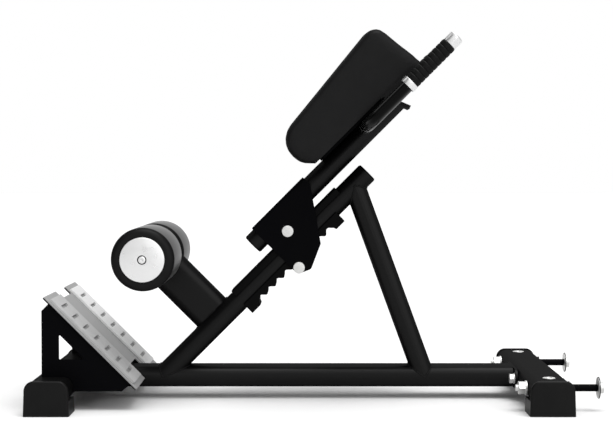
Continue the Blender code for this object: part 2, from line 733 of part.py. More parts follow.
def make_gussets(front_envelope):
    top_x, top_z = plate_point(GUSSET_EDGE_MARGIN)
    toe_x, toe_z = plate_point(FOOTPLATE_LENGTH - GUSSET_EDGE_MARGIN)
    left_x = top_x - GUSSET_TOP_CHAMFER
    outline = [
        (left_x, toe_z - GUSSET_TOE_DROP),
        (toe_x - GUSSET_TOE_RUN, toe_z - GUSSET_TOE_DROP),
        (toe_x, toe_z),
        (top_x, top_z),
        (left_x, top_z - GUSSET_TOP_CHAMFER),
    ]
    window_x = left_x + GUSSET_WINDOW_INSET
    side_length = GUSSET_WINDOW_SIDE
    window = rounded([
        (window_x, GUSSET_WINDOW_Z, 0.002),
        (window_x + side_length, GUSSET_WINDOW_Z, 0.002),
        (window_x, GUSSET_WINDOW_Z + side_length, 0.002),
    ], 2)
    outer = GUSSET_OUTER_Y
    for side_name, side in SIDES:
        ends = sorted((side * outer, side * (outer - GUSSET_THICKNESS)))
        plate = bmesh.new()
        add_prism(plate, "Y", ends[0], ends[1], outline)
        gusset = make(side_name + "_gusset", plate, BLACK_COAT)
        hole = bmesh.new()
        add_prism(hole, "Y", ends[0] - GUSSET_THICKNESS, ends[1] + GUSSET_THICKNESS, window)
        combine(gusset, make_cutter(side_name + "_gusset_window", hole))
        combine(gusset, front_envelope)


# Rail, strut and what is fixed to the rail

def rail_envelope(frame):
    mesh = bmesh.new()
    add_prism(mesh, "X", -TUBE_DEPTH, RAIL_LENGTH, tube_outline(FIT))
    return make_cutter("rail_envelope", mesh, frame)


def make_rail(frame, beam_cutter):
    mesh = bmesh.new()
    to_beam_axis = TUBE_DEPTH / 2 / math.sin(RAIL_ANGLE)
    add_pipe(mesh, "X", -to_beam_axis, RAIL_LENGTH, tube_outline(), tube_outline(-TUBE_WALL))
    rail = make("inclined_rail", mesh, BLACK_COAT, frame)
    combine(rail, beam_cutter)


def add_tube_plug(mesh, end, direction, outline_of):
    """Plug in a tube's end at x = end; direction is +1 where the tube lies on the low side."""
    inside = outline_of(-TUBE_WALL - FIT)
    flange = outline_of(-PLUG_INSET)
    seat = end + direction * FIT
    add_stack(mesh, "X", [
        (end - direction * PLUG_DEPTH, inside),
        (seat, inside),
        (seat, flange),
        (seat + direction * PLUG_FLANGE, flange),
    ])


def make_rail_plug(frame):
    mesh = bmesh.new()
    add_tube_plug(mesh, RAIL_LENGTH, 1, tube_outline)
    make("rail_end_plug", mesh, BLACK_PLASTIC, frame)


def make_wear_strip(frame, rail_cutter):
    mesh = bmesh.new()
    width = SADDLE_HALF_WIDTH
    section = rounded([
        (-width, STRIP_FLANK, 0.0),
        (width, STRIP_FLANK, 0.0),
        (width, STRIP_TOP, 0.005),
        (-width, STRIP_TOP, 0.005),
    ], 3)
    add_prism(mesh, "X", STRIP_START, STRIP_END, section)
    strip = make("top_wear_strip", mesh, BLACK_PLASTIC, frame)
    combine(strip, rail_cutter)


def rack_outline():
    """Side view of the rack: two end blocks and a row of V notches with rounded roots and tips.

    An end notch has the same square V as the others as far down as the tips of the teeth.
    """
    first = RACK_START + RACK_END_BLOCK
    last = first + (NOTCH_COUNT - 1) * NOTCH_PITCH
    notch_half_width = NOTCH_APEX - TOOTH_TIP
    corners = [
        (RACK_START, RACK_FLANK, 0.0),
        (RACK_START, RACK_BLOCK_TIP, 0.0),
        (first - RACK_BLOCK_RUN, RACK_BLOCK_TIP, 0.0),
        (first - notch_half_width, TOOTH_TIP, 0.0),
    ]
    for index in range(NOTCH_COUNT):
        centre = first + index * NOTCH_PITCH
        corners.append((centre, NOTCH_APEX, NOTCH_RADIUS))
        if index < NOTCH_COUNT - 1:
            corners.append((centre + NOTCH_PITCH / 2, TOOTH_APEX, TOOTH_RADIUS))
    corners += [
        (last + notch_half_width, TOOTH_TIP, 0.0),
        (last + RACK_BLOCK_RUN, RACK_BLOCK_TIP, 0.0),
        (RACK_END, RACK_BLOCK_TIP, 0.0),
        (RACK_END, RACK_FLANK, 0.0),
    ]
    return rounded(corners, 4)


def make_rack(frame, rail_cutter):
    mesh = bmesh.new()
    add_prism(mesh, "Y", -SADDLE_HALF_WIDTH, SADDLE_HALF_WIDTH, rack_outline())
    rack = make("notch_rack", mesh, BLACK_PLASTIC, frame)
    combine(rack, rail_cutter)


def make_strut(beam_cutter, rail_cutter):
    mesh = bmesh.new()
    to_beam_axis = TUBE_DEPTH / 2 / math.cos(STRUT_LEAN)
    add_pipe(mesh, "X", -to_beam_axis, STRUT_LENGTH, tube_outline(), tube_outline(-TUBE_WALL))
    turn = -(math.pi / 2 + STRUT_LEAN)
    strut = make("rear_strut", mesh, BLACK_COAT, location=(STRUT_FOOT_X, 0.0, BEAM_TOP_Z), turn=turn)
    combine(strut, beam_cutter)
    combine(strut, rail_cutter)


# Ankle rollers

def arm_outline(grow=0.0):
    return turned_quarter(tube_outline(grow))


def make_roller_arm(frame, rail_cutter):
    mesh = bmesh.new()
    add_pipe(mesh, "X", 0.0, ROLLER_ARM_TOP, arm_outline(), arm_outline(-TUBE_WALL))
    arm = make("roller_arm", mesh, BLACK_COAT, frame, (ROLLER_S, 0.0, 0.0), -math.pi / 2)
    combine(arm, rail_cutter)
    bore = bmesh.new()
    add_prism(bore, "Y", -TUBE_DEPTH, TUBE_DEPTH, circle(AXLE_RADIUS + FIT))
    combine(arm, make_cutter("axle_bore", bore, frame, (ROLLER_S, 0.0, ROLLER_HEIGHT)))
    plug = bmesh.new()
    add_tube_plug(plug, ROLLER_ARM_TOP, 1, arm_outline)
    make("roller_arm_plug", plug, BLACK_PLASTIC, frame, (ROLLER_S, 0.0, 0.0), -math.pi / 2)


def make_roller_axle(frame):
    mesh = bmesh.new()
    bore = ROLLER_BOLT_RADIUS + BOLT_CLEARANCE
    bottom = AXLE_END_Y - ROLLER_BOLT_DEPTH
    half = [(bottom, 0.0), (bottom, bore), (AXLE_END_Y, bore), (AXLE_END_Y, AXLE_RADIUS)]
    mirrored = [(-along, radius) for along, radius in reversed(half)]
    add_turned(mesh, "Y", half + mirrored)
    make("roller_axle", mesh, ZINC, frame, (ROLLER_S, 0.0, ROLLER_HEIGHT))


def make_foam_roller(side_name, side, frame):
    """Foam roller on its plastic core; both turn on the axle."""
    pivot = make_frame(side_name + "_roller_pivot", (ROLLER_S, 0.0, ROLLER_HEIGHT), parent=frame)
    core = bmesh.new()
    core_low = TUBE_DEPTH / 2 + RUNNING_FIT
    core_high = DISC_FACE_Y - RUNNING_FIT
    core_ends = sorted((side * core_low, side * core_high))
    add_pipe(core, "Y", *core_ends, circle(CORE_OUTER_RADIUS), circle(CORE_INNER_RADIUS))
    make(side_name + "_roller_core", core, BLACK_PLASTIC, pivot)
    bore = CORE_OUTER_RADIUS + FIT
    edge = ROLLER_END_RADIUS
    profile = [(side * ROLLER_INNER_Y, bore)]
    for angle in (0, 22.5, 45, 67.5, 90):
        reach = edge * (1 - math.sin(math.radians(angle)))
        drop = edge * (1 - math.cos(math.radians(angle)))
        profile.append((side * (ROLLER_INNER_Y + drop), ROLLER_RADIUS - reach))
    for angle in (90, 67.5, 45, 22.5, 0):
        reach = edge * (1 - math.sin(math.radians(angle)))
        drop = edge * (1 - math.cos(math.radians(angle)))
        profile.append((side * (ROLLER_OUTER_Y - drop), ROLLER_RADIUS - reach))
    profile.append((side * ROLLER_OUTER_Y, bore))
    foam = bmesh.new()
    add_turned(foam, "Y", profile, closed=True, steps=36)
    make(side_name + "_foam_roller", foam, BLACK_FOAM, pivot)


def make_roller_ends(frame):
    """Domed end discs and the bolts that hold them on the axle."""
    bore = ROLLER_BOLT_RADIUS + BOLT_CLEARANCE
    crown = DISC_FACE_Y + DISC_DOME
    recess = ROLLER_BOLT_HEAD_RADIUS + DISC_RECESS_GAP
    floor = crown - DISC_RECESS_DEPTH
    seat = floor + FIT
    tip = AXLE_END_Y - ROLLER_BOLT_DEPTH + 2 * FIT
    location = (ROLLER_S, 0.0, ROLLER_HEIGHT)
    disc_profile = [(DISC_FACE_Y, bore), (DISC_FACE_Y, DISC_RADIUS), (DISC_FACE_Y + DISC_RIM, DISC_RADIUS)]
    for part in (0.25, 0.5, 0.75, 1.0):
        radius = DISC_RADIUS + (DISC_FLAT_RADIUS - DISC_RADIUS) * part
        rise = DISC_RIM + (DISC_DOME - DISC_RIM) * math.sin(part * math.pi / 2)
        disc_profile.append((DISC_FACE_Y + rise, radius))
    disc_profile += [(crown, recess), (floor, recess), (floor, bore)]
    bolt_profile = [
        (tip, 0.0),
        (tip, ROLLER_BOLT_RADIUS),
        (seat, ROLLER_BOLT_RADIUS),
        (seat, ROLLER_BOLT_HEAD_RADIUS),
        (seat + ROLLER_BOLT_HEAD_HEIGHT * 0.6, ROLLER_BOLT_HEAD_RADIUS),
        (seat + ROLLER_BOLT_HEAD_HEIGHT, ROLLER_BOLT_HEAD_RADIUS * 0.7),
        (seat + ROLLER_BOLT_HEAD_HEIGHT, 0.0),
    ]
    for side_name, side in SIDES:
        disc = bmesh.new()
        turned_profile = [(side * along, radius) for along, radius in disc_profile]
        add_turned(disc, "Y", turned_profile, closed=True, steps=36)
        make(side_name + "_roller_disc", disc, SATIN_ALUMINIUM, frame, location)
        bolt = bmesh.new()
        add_turned(bolt, "Y", [(side * along, radius) for along, radius in bolt_profile], steps=20)
        make(side_name + "_roller_bolt", bolt, ZINC, frame, location)


# Carriage, in a frame on the rail's axis at the guide pin

def bracket_side_outline():
    """Side plate, with a lug round the lock bar at its lower corner."""
    lug = (-PIN_SPACING_S, LOCK_BAR_HEIGHT)
    high_n = BRACKET_TOP
    lug_radius = lug[0] - BRACKET_LOW_S
    outline = [(BRACKET_HIGH_S, high_n), (BRACKET_LOW_S, high_n)]
    outline += arc(lug, lug_radius, 180.0, 245.0, 5)
    corners = [(*outline[-1], 0.0), (*BRACKET_CHIN, 0.010), (*BRACKET_HIP, 0.006)]
    corners += [(*BRACKET_SHOULDER, 0.003), (*outline[0], 0.0)]
    return outline[:-1] + rounded(corners, 4)[:-1]


def make_bracket(frame):
    """Folded U bracket: a web over the upper tube and two side plates past the rail."""
    outer = BRACKET_OUTER_Y
    inner = BRACKET_INNER_Y
    web_low = BRACKET_TOP - BRACKET_PLATE
    reach = -0.1
    fold = BRACKET_FOLD_RADIUS
    section = rounded([
        (outer, reach, 0.0),
        (outer, BRACKET_TOP, fold),
        (-outer, BRACKET_TOP, fold),
        (-outer, reach, 0.0),
        (-inner, reach, 0.0),
        (-inner, web_low, fold - BRACKET_PLATE),
        (inner, web_low, fold - BRACKET_PLATE),
        (inner, reach, 0.0),
    ], 4)
    channel = bmesh.new()
    add_prism(channel, "X", BRACKET_LOW_S - 0.02, BRACKET_SHOULDER[0] + 0.02, section)
    bracket = make("carriage_bracket", channel, BLACK_COAT, frame)
    side = bmesh.new()
    add_prism(side, "Y", -2 * outer, 2 * outer, bracket_side_outline())
    combine(bracket, make_cutter("bracket_side_view", side, frame), "INTERSECT")
    holes = bmesh.new()
    pin_hole = shifted(circle(GUIDE_NECK_RADIUS + BOLT_CLEARANCE, 16), 0.0, GUIDE_PIN_HEIGHT)
    add_prism(holes, "Y", -2 * outer, 2 * outer, pin_hole)
    slot_radius = LOCK_NECK_RADIUS + RUNNING_FIT
    slot = arc((-PIN_SPACING_S, LOCK_BAR_HEIGHT), slot_radius, 180.0, 360.0, 8)
    slot += arc((-PIN_SPACING_S, LOCK_BAR_HEIGHT + LOCK_TRAVEL), slot_radius, 0.0, 180.0, 8)
    add_prism(holes, "Y", -2 * outer, 2 * outer, slot)
    combine(bracket, make_cutter("bracket_holes", holes, frame))


def pin_profile(body_radius, neck_radius):
    """Pin with a flat head outside each side plate; its body fills the space between the plates."""
    body = BRACKET_INNER_Y - FIT
    seat = BRACKET_OUTER_Y + FIT
    half = [
        (body, body_radius),
        (body, neck_radius),
        (seat, neck_radius),
        (seat, PIN_HEAD_RADIUS),
        (seat + PIN_HEAD_HEIGHT * 0.75, PIN_HEAD_RADIUS),
        (seat + PIN_HEAD_HEIGHT, PIN_HEAD_RADIUS - PIN_HEAD_HEIGHT / 4),
        (seat + PIN_HEAD_HEIGHT, 0.0),
    ]
    return [(-along, radius) for along, radius in reversed(half)] + half


def make_pins(carriage):
    guide = bmesh.new()
    add_turned(guide, "Y", pin_profile(GUIDE_PIN_RADIUS, GUIDE_NECK_RADIUS))
    make("guide_pin", guide, ZINC, carriage, (0.0, 0.0, GUIDE_PIN_HEIGHT))
    lock = make_frame("lock_bar_slide", (-PIN_SPACING_S, 0.0, LOCK_BAR_HEIGHT), parent=carriage)
    bar = bmesh.new()
    add_turned(bar, "Y", pin_profile(LOCK_BAR_RADIUS, LOCK_NECK_RADIUS))
    make("lock_bar", bar, ZINC, lock)


def make_upper_tube(frame):
    """Upper tube, its slanted end plate with a lip, and the plug in its low end."""
    mesh = bmesh.new()
    slope = math.tan(UPPER_END_TILT)
    half = TUBE_DEPTH / 2
    longest = UPPER_TUBE_HIGH_S + half * slope
    add_pipe(mesh, "X", UPPER_TUBE_LOW_S, longest, tube_outline(), tube_outline(-TUBE_WALL))
    location = (0.0, 0.0, UPPER_TUBE_HEIGHT)
    tube = make("upper_tube", mesh, BLACK_COAT, frame, location)
    trim = bmesh.new()
    far = longest + TUBE_DEPTH
    reach = TUBE_DEPTH
    trim_outline = [
        (UPPER_TUBE_HIGH_S + reach * slope, -reach),
        (far, -reach),
        (far, reach),
        (UPPER_TUBE_HIGH_S - reach * slope, reach),
    ]
    add_prism(trim, "Y", -TUBE_WIDTH, TUBE_WIDTH, trim_outline)
    combine(tube, make_cutter("upper_tube_trim", trim, frame, location))
    bore = bmesh.new()
    add_prism(bore, "Y", -TUBE_WIDTH, TUBE_WIDTH, circle(HANDLE_RADIUS + FIT))
    combine(tube, make_cutter("crossbar_bore", bore, frame, (HANDLE_S, 0.0, HANDLE_HEIGHT)))

    plate = bmesh.new()
    top = half / math.cos(UPPER_END_TILT) * 0.94
    bottom = -(half + END_PLATE_LIP) / math.cos(UPPER_END_TILT)
    weld = -END_PLATE_THICKNESS / 8
    face = END_PLATE_THICKNESS
    outline = [(weld, bottom), (face, bottom), (face, top), (weld, top)]
    add_prism(plate, "Y", -END_PLATE_HALF_WIDTH, END_PLATE_HALF_WIDTH, outline)
    end_location = (UPPER_TUBE_HIGH_S, 0.0, UPPER_TUBE_HEIGHT)
    combine(tube, make_cutter("upper_tube_end_plate", plate, frame, end_location, -UPPER_END_TILT), "UNION")

    plug = bmesh.new()
    add_tube_plug(plug, UPPER_TUBE_LOW_S, -1, tube_outline)
    make("upper_tube_plug", plug, BLACK_PLASTIC, frame, location)


# Pads

def pad_corners():
    """Corners of a pad's side view (s, n, radius): a rounded nose, and a heel that hangs past its plate."""
    base = PAD_BASE_HEIGHT
    nose_s = PAD_NOSE_CENTRE_S - PAD_NOSE_RADIUS
    return [
        (nose_s, base, PAD_NOSE_BASE_RADIUS),
        (PAD_STEP_S, base, 0.0),
        (PAD_STEP_S, PAD_HEEL_HEIGHT, 0.0),
        (PAD_BASE_HIGH_S, PAD_HEEL_HEIGHT, PAD_HEEL_RADIUS),
        (PAD_TOP_S, base + PAD_HIGH_HEIGHT, PAD_TOP_RADIUS),
        (nose_s, base + PAD_LOW_HEIGHT, PAD_NOSE_RADIUS),
    ]


def pad_outline(steps_per_side=4):
    """Pad outline with extra points along the straight sides, so that its crown has rows to move."""
    coarse = rounded(pad_corners(), 5)
    points = []
    for index, start in enumerate(coarse):
        end = coarse[(index + 1) % len(coarse)]
        length = math.dist(start, end)
        pieces = steps_per_side if length > 0.05 else 1
        for piece in range(pieces):
            part = piece / pieces
            points.append((start[0] + (end[0] - start[0]) * part, start[1] + (end[1] - start[1]) * part))
    return points


def drawn_in(outline, inset, crown):
    """Outline moved inward by inset, and outward by crown on the user's side; its base stays."""
    low = min(v for _, v in outline)
    high = max(v for _, v in outline)
    result = []
    count = len(outline)
    for index, point in enumerate(outline):
        before = Vector(outline[index - 1])
        after = Vector(outline[(index + 1) % count])
        along = (after - before).normalized()
        outward = Vector((along.y, -along.x))
        lift = crown * max(0.0, (point[1] - low) / (high - low)) ** 2
        outward.y = max(0.0, outward.y)
        moved = Vector(point) + outward * (lift - inset)
        if point[1] < PAD_BASE_HEIGHT + FIT:
            moved.x = min(point[0], PAD_BASE_HIGH_S - inset)
        result.append((moved.x, moved.y))
    return result


def make_pad(side_name, side, frame):
    """Cushion: crowned on the user's side, with rounded edges and slightly drawn-in flanks."""
    outline = pad_outline()
    middle = (PAD_INNER_Y + PAD_OUTER_Y) / 2
    half = (PAD_OUTER_Y - PAD_INNER_Y) / 2
    sections = []
    edge = PAD_EDGE_RADIUS
    positions = []
    for angle in (0, 30, 60, 90):
        reach = half - edge * (1 - math.cos(math.radians(angle)))
        positions.append((reach, edge * (1 - math.sin(math.radians(angle)))))
    for part in (0.55, 0.2):
        positions.append((half * part, 0.0))
    positions += [(-y, inset) for y, inset in reversed(positions)]
    for y, inset in positions:
        crown = PAD_CROWN * (1 - (y / half) ** 2)
        bow = PAD_SIDE_DRAW * (1 - (y / half) ** 2)
        sections.append((side * (middle + y), drawn_in(outline, inset + PAD_SIDE_DRAW - bow, crown)))
    mesh = bmesh.new()
    add_stack(mesh, "Y", sections)
    pad = make(side_name + "_pad", mesh, BLACK_VINYL, frame)
    pocket = bmesh.new()
    low, high, outline = board_shape(FIT)
    outline = shifted(outline, (low + high) / 2, side * middle)
    pocket_top = PAD_BASE_HEIGHT + BOARD_THICKNESS + FIT
    add_prism(pocket, "Z", PAD_BASE_HEIGHT - FIT, pocket_top, outline)
    combine(pad, make_cutter(side_name + "_board_pocket", pocket, frame))


def board_shape(grow=0.0):
    """Ends along s and outline of a pad's board, moved outward by grow."""
    low = PAD_NOSE_CENTRE_S - PAD_NOSE_RADIUS + 2 * BOARD_MARGIN - grow
    high = PAD_BASE_HIGH_S - BOARD_MARGIN + grow
    width = PAD_OUTER_Y - PAD_INNER_Y - 2 * BOARD_MARGIN + 2 * grow
    return low, high, rounded_box(high - low, width, BOARD_CORNER + grow, 3)


def make_board(side_name, side, frame):
    low, high, outline = board_shape()
    middle = (PAD_INNER_Y + PAD_OUTER_Y) / 2
    mesh = bmesh.new()
    board_top = PAD_BASE_HEIGHT + BOARD_THICKNESS
    add_prism(mesh, "Z", PAD_BASE_HEIGHT, board_top, shifted(outline, (low + high) / 2, side * middle))
    make(side_name + "_pad_board", mesh, PLYWOOD, frame)


def make_pad_plate(frame):
    mesh = bmesh.new()
    length = PAD_PLATE_HIGH_S - PAD_PLATE_LOW_S
    middle_s = (PAD_PLATE_HIGH_S + PAD_PLATE_LOW_S) / 2
    outline = rounded_box(length, 2 * PAD_PLATE_HALF_WIDTH, PAD_PLATE_CORNER, 4)
    low = UPPER_TUBE_TOP + FIT
    add_prism(mesh, "Z", low, PAD_PLATE_TOP, shifted(outline, middle_s, 0.0))
    make("pad_mounting_plate", mesh, BLACK_COAT, frame)


# Handles

def make_crossbar(frame):
    mesh = bmesh.new()
    end = HANDLE_Y - HANDLE_BEND_RADIUS - FIT
    add_pipe(mesh, "Y", -end, end, circle(HANDLE_RADIUS, 20), circle(HANDLE_RADIUS - HANDLE_WALL, 20))
    make("handle_crossbar", mesh, BLACK_COAT, frame, (HANDLE_S, 0.0, HANDLE_HEIGHT))


def make_handle_tube(side_name, side, frame):
    """Bend out of the crossbar, then a straight arm up along the rail as far as the end cap."""
    path = []
    bend = HANDLE_BEND_RADIUS
    for step in range(7):
        angle = math.radians(15 * step)
        s = HANDLE_S + bend * (1 - math.cos(angle))
        y = HANDLE_Y - bend * (1 - math.sin(angle))
        path.append((s, y, angle))
    path.append((GRIP_HIGH_S, HANDLE_Y, math.pi / 2))
    mesh = bmesh.new()
    loops = []
    for radius in (HANDLE_RADIUS, HANDLE_RADIUS - HANDLE_WALL):
        rings = []
        for s, y, angle in path:
            ring = []
            for u, v in circle(radius, 20):
                across = Vector((-math.cos(angle), math.sin(angle)))
                ring.append(mesh.verts.new((s + u * across.x, side * (y + u * across.y), v)))
            rings.append(ring)
        loops.append(rings)
    outer, inner = loops
    cycle = outer + inner[::-1]
    for near, far in zip(cycle, cycle[1:] + cycle[:1]):
        for index in range(len(near)):
            following = (index + 1) % len(near)
            mesh.faces.new((near[index], near[following], far[following], far[index]))
    make(side_name + "_handle_tube", mesh, BLACK_COAT, frame, (0.0, 0.0, HANDLE_HEIGHT))


def grip_profile():
    """Ribbed rubber sleeve: rounded ribs between shallow grooves."""
    inner = HANDLE_RADIUS + FIT
    profile = [(GRIP_HIGH_S, inner), (GRIP_LOW_S, inner)]
    pitch = GRIP_LENGTH / GRIP_RIB_COUNT
    for index in range(GRIP_RIB_COUNT):
        start = GRIP_LOW_S + index * pitch
        profile += [
            (start, GRIP_RADIUS - GRIP_GROOVE_DEPTH),
            (start + pitch * 0.18, GRIP_RADIUS),
            (start + pitch * 0.82, GRIP_RADIUS),
        ]
    profile.append((GRIP_HIGH_S, GRIP_RADIUS - GRIP_GROOVE_DEPTH))
    return profile


def make_handle_fittings(side_name, side, frame):
    location = (0.0, side * HANDLE_Y, HANDLE_HEIGHT)
    collar = bmesh.new()
    bore = HANDLE_RADIUS + FIT
    high = COLLAR_LOW_S + COLLAR_LENGTH
    collar_profile = [
        (COLLAR_LOW_S, bore),
        (COLLAR_LOW_S, COLLAR_RADIUS - 0.001),
        (COLLAR_LOW_S + 0.001, COLLAR_RADIUS),
        (high - 0.001, COLLAR_RADIUS),
        (high, COLLAR_RADIUS - 0.001),
        (high, bore),
    ]
    add_turned(collar, "X", collar_profile, closed=True)
    make(side_name + "_handle_collar", collar, SATIN_ALUMINIUM, frame, location)

    grip = bmesh.new()
    add_turned(grip, "X", grip_profile(), closed=True)
    make(side_name + "_grip", grip, BLACK_RUBBER, frame, location)

    cap = bmesh.new()
    seat = GRIP_HIGH_S + FIT
    spigot = HANDLE_RADIUS - HANDLE_WALL - FIT
    end = seat + END_CAP_LENGTH
    cap_outline = [
        (seat - END_CAP_SPIGOT, 0.0),
        (seat - END_CAP_SPIGOT, spigot),
        (seat, spigot),
        (seat, END_CAP_RADIUS - 0.001),
        (seat + 0.001, END_CAP_RADIUS),
        (end - END_CAP_EDGE, END_CAP_RADIUS),
        (end - END_CAP_EDGE * 0.3, END_CAP_RADIUS - END_CAP_EDGE * 0.3),
        (end, END_CAP_RADIUS - END_CAP_EDGE),
        (end, 0.0),
    ]
    add_turned(cap, "X", cap_outline)
    make(side_name + "_handle_end_cap", cap, SATIN_ALUMINIUM, frame, location)


def main():
    clear_scene()

    front_envelope = cross_tube_envelope("front_tube_envelope", FRONT_TUBE_X)
    rear_envelope = cross_tube_envelope("rear_tube_envelope", REAR_TUBE_X)
    beam_cutter = beam_envelope()
    holes = rear_tube_holes()

    make_cross_tube("front_cross_tube", FRONT_TUBE_X)
    rear_tube = make_cross_tube("rear_cross_tube", REAR_TUBE_X)
    combine(rear_tube, holes)
    make_beam(front_envelope, holes)
    make_flange_bolts()
    make_feet({"front": front_envelope, "rear": rear_envelope})
    make_rear_foot_bolts()
    make_band_pegs()
    make_footplate()
    make_gussets(front_envelope)

    rail_frame = make_frame("rail_frame", (RAIL_FOOT_X, 0.0, BEAM_TOP_Z), -RAIL_ANGLE)
    rail_cutter = rail_envelope(rail_frame)
    make_rail(rail_frame, beam_cutter)
    make_rail_plug(rail_frame)
    make_wear_strip(rail_frame, rail_cutter)
    make_rack(rail_frame, rail_cutter)
    make_strut(beam_cutter, rail_cutter)
    make_roller_arm(rail_frame, rail_cutter)
    make_roller_axle(rail_frame)
    make_roller_ends(rail_frame)
    for side_name, side in SIDES:
        make_foam_roller(side_name, side, rail_frame)

    carriage = make_frame("carriage_frame", (CARRIAGE_S, 0.0, 0.0), parent=rail_frame)
    make_bracket(carriage)
    make_pins(carriage)
    make_upper_tube(carriage)
    for side_name, side in SIDES:
        make_pad(side_name, side, carriage)
        make_board(side_name, side, carriage)
        make_handle_tube(side_name, side, carriage)
        make_handle_fittings(side_name, side, carriage)
    make_pad_plate(carriage)
    make_crossbar(carriage)


main()
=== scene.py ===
import json
import math

import bmesh
import bpy
from mathutils import Matrix, Vector


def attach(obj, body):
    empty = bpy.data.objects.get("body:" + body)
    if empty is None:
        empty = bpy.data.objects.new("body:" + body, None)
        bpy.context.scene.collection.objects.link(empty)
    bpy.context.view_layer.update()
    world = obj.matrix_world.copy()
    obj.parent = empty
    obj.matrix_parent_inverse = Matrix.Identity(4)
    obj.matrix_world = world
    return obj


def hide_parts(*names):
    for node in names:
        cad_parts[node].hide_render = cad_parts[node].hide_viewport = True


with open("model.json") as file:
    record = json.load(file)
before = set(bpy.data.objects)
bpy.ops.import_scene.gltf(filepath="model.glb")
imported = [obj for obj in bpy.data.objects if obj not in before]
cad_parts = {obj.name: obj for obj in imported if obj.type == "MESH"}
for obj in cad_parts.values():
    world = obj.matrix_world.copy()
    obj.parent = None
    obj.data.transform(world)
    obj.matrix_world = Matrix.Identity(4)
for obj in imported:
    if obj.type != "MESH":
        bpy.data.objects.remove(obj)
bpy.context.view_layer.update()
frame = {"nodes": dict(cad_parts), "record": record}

nodeBody = {node: body for body, nodes in frame["record"]["behaviour"]["bodies"].items() for node in nodes}
sides = (("left", 1), ("right", -1))
fitGap = 0.0003  # between pieces that touch
level = Matrix.Identity(4)
alongRail = Matrix.Rotation(math.radians(-45.0), 4, "Y")  # x runs up the rail, z stands off it
print("frame loaded:", len(frame["nodes"]), "nodes")


# Places read from the frame

def pointsIn(turn, node):
    back = turn.inverted()
    return [back @ vertex.co for vertex in frame["nodes"][node].data.vertices]


def boxIn(turn, node):
    points = pointsIn(turn, node)
    low = Vector([min(point[axis] for point in points) for axis in range(3)])
    high = Vector([max(point[axis] for point in points) for axis in range(3)])
    return low, high


def middleOf(turn, node):
    low, high = boxIn(turn, node)
    return (low + high) / 2


def axisAt(origin, direction):  # local z runs along the axis
    place = Vector(direction).to_track_quat("Z", "Y").to_matrix().to_4x4()
    place.translation = origin
    return place


# Node trees

def addNode(tree, kind, values=None, **options):
    node = tree.nodes.new(kind)
    for key, value in options.items():
        setattr(node, key, value)
    for label, value in (values or {}).items():
        if isinstance(value, bpy.types.NodeSocket):
            tree.links.new(value, node.inputs[label])
        else:
            node.inputs[label].default_value = value
    return node


def calculate(tree, operation, *values):
    return addNode(tree, "ShaderNodeMath", dict(enumerate(values)), operation=operation).outputs[0]


def ramp(tree, value, low, high, start=0.0, end=1.0, kind="LINEAR"):
    values = {0: value, 1: low, 2: high, 3: start, 4: end}
    return addNode(tree, "ShaderNodeMapRange", values, interpolation_type=kind).outputs[0]


def noise(tree, vector, scale, detail, output="Fac"):
    values = {"Vector": vector, "Scale": scale, "Detail": detail}
    return addNode(tree, "ShaderNodeTexNoise", values).outputs[output]


mixSockets = {"FLOAT": (2, 0), "VECTOR": (4, 1), "RGBA": (6, 2)}  # each kind's first input and its output


def mix(tree, kind, share, first, second):
    start, end = mixSockets[kind]
    values = {0: share, start: first, start + 1: second}
    return addNode(tree, "ShaderNodeMix", values, data_type=kind).outputs[end]


def startGroup(name, kind, takes, gives):  # a number is a socket's default, a word is its kind
    group = bpy.data.node_groups.new(name, kind)
    for label, value in takes.items():
        word = value if isinstance(value, str) else type(value).__name__.title()
        socket = group.interface.new_socket(label, in_out="INPUT", socket_type="NodeSocket" + word)
        if not isinstance(value, str):
            socket.default_value = value
    for label, word in gives.items():
        group.interface.new_socket(label, in_out="OUTPUT", socket_type="NodeSocket" + word)
    return group, group.nodes.new("NodeGroupInput").outputs, group.nodes.new("NodeGroupOutput").inputs


# Grains: each gives a height for the bump and a mottle for colour and gloss
grainShape = {
    "mottleLow": 0.3, "mottleHigh": 0.7, "coarsePart": 0.03, "warpScale": 60.0, "warp": 0.004, "crease": 0.16,
    "hideCloud": 25.0, "turnedCloud": 60.0, "platedFine": 900.0, "woodStretch": 0.05, "woodLow": 0.35,
    "woodHigh": 0.65}


def startGrain(name):
    return startGroup(name, "ShaderNodeTree", {"Vector": "Vector", "Scale": 500.0}, {
        "Height": "Float", "Mottle": "Float"})


def endGrain(group, result, height, mottle):
    group.links.new(height, result["Height"])
    group.links.new(mottle, result["Mottle"])
    return group


def mottled(group, cloud):
    return ramp(group, cloud, grainShape["mottleLow"], grainShape["mottleHigh"])


def mouldedGrain():  # the faint pebbling of powder coat, rubber and moulded plastic
    group, given, result = startGrain("mouldedGrain")
    fine = noise(group, given["Vector"], given["Scale"], 2.0)
    coarseScale = calculate(group, "MULTIPLY", given["Scale"], grainShape["coarsePart"])
    coarse = noise(group, given["Vector"], coarseScale, 3.0)
    return endGrain(group, result, fine, mottled(group, coarse))


def hideGrain():  # creased cells of upholstery vinyl
    group, given, result = startGrain("hideGrain")
    warp = noise(group, given["Vector"], grainShape["warpScale"], 2.0, "Color")
    bent = mix(group, "VECTOR", grainShape["warp"], given["Vector"], warp)
    cells = addNode(
        group, "ShaderNodeTexVoronoi", {"Vector": bent, "Scale": given["Scale"]}, feature="DISTANCE_TO_EDGE")
    crease = ramp(group, cells.outputs["Distance"], 0.0, grainShape["crease"])
    soft = noise(group, given["Vector"], grainShape["hideCloud"], 3.0)
    return endGrain(group, result, crease, mottled(group, soft))


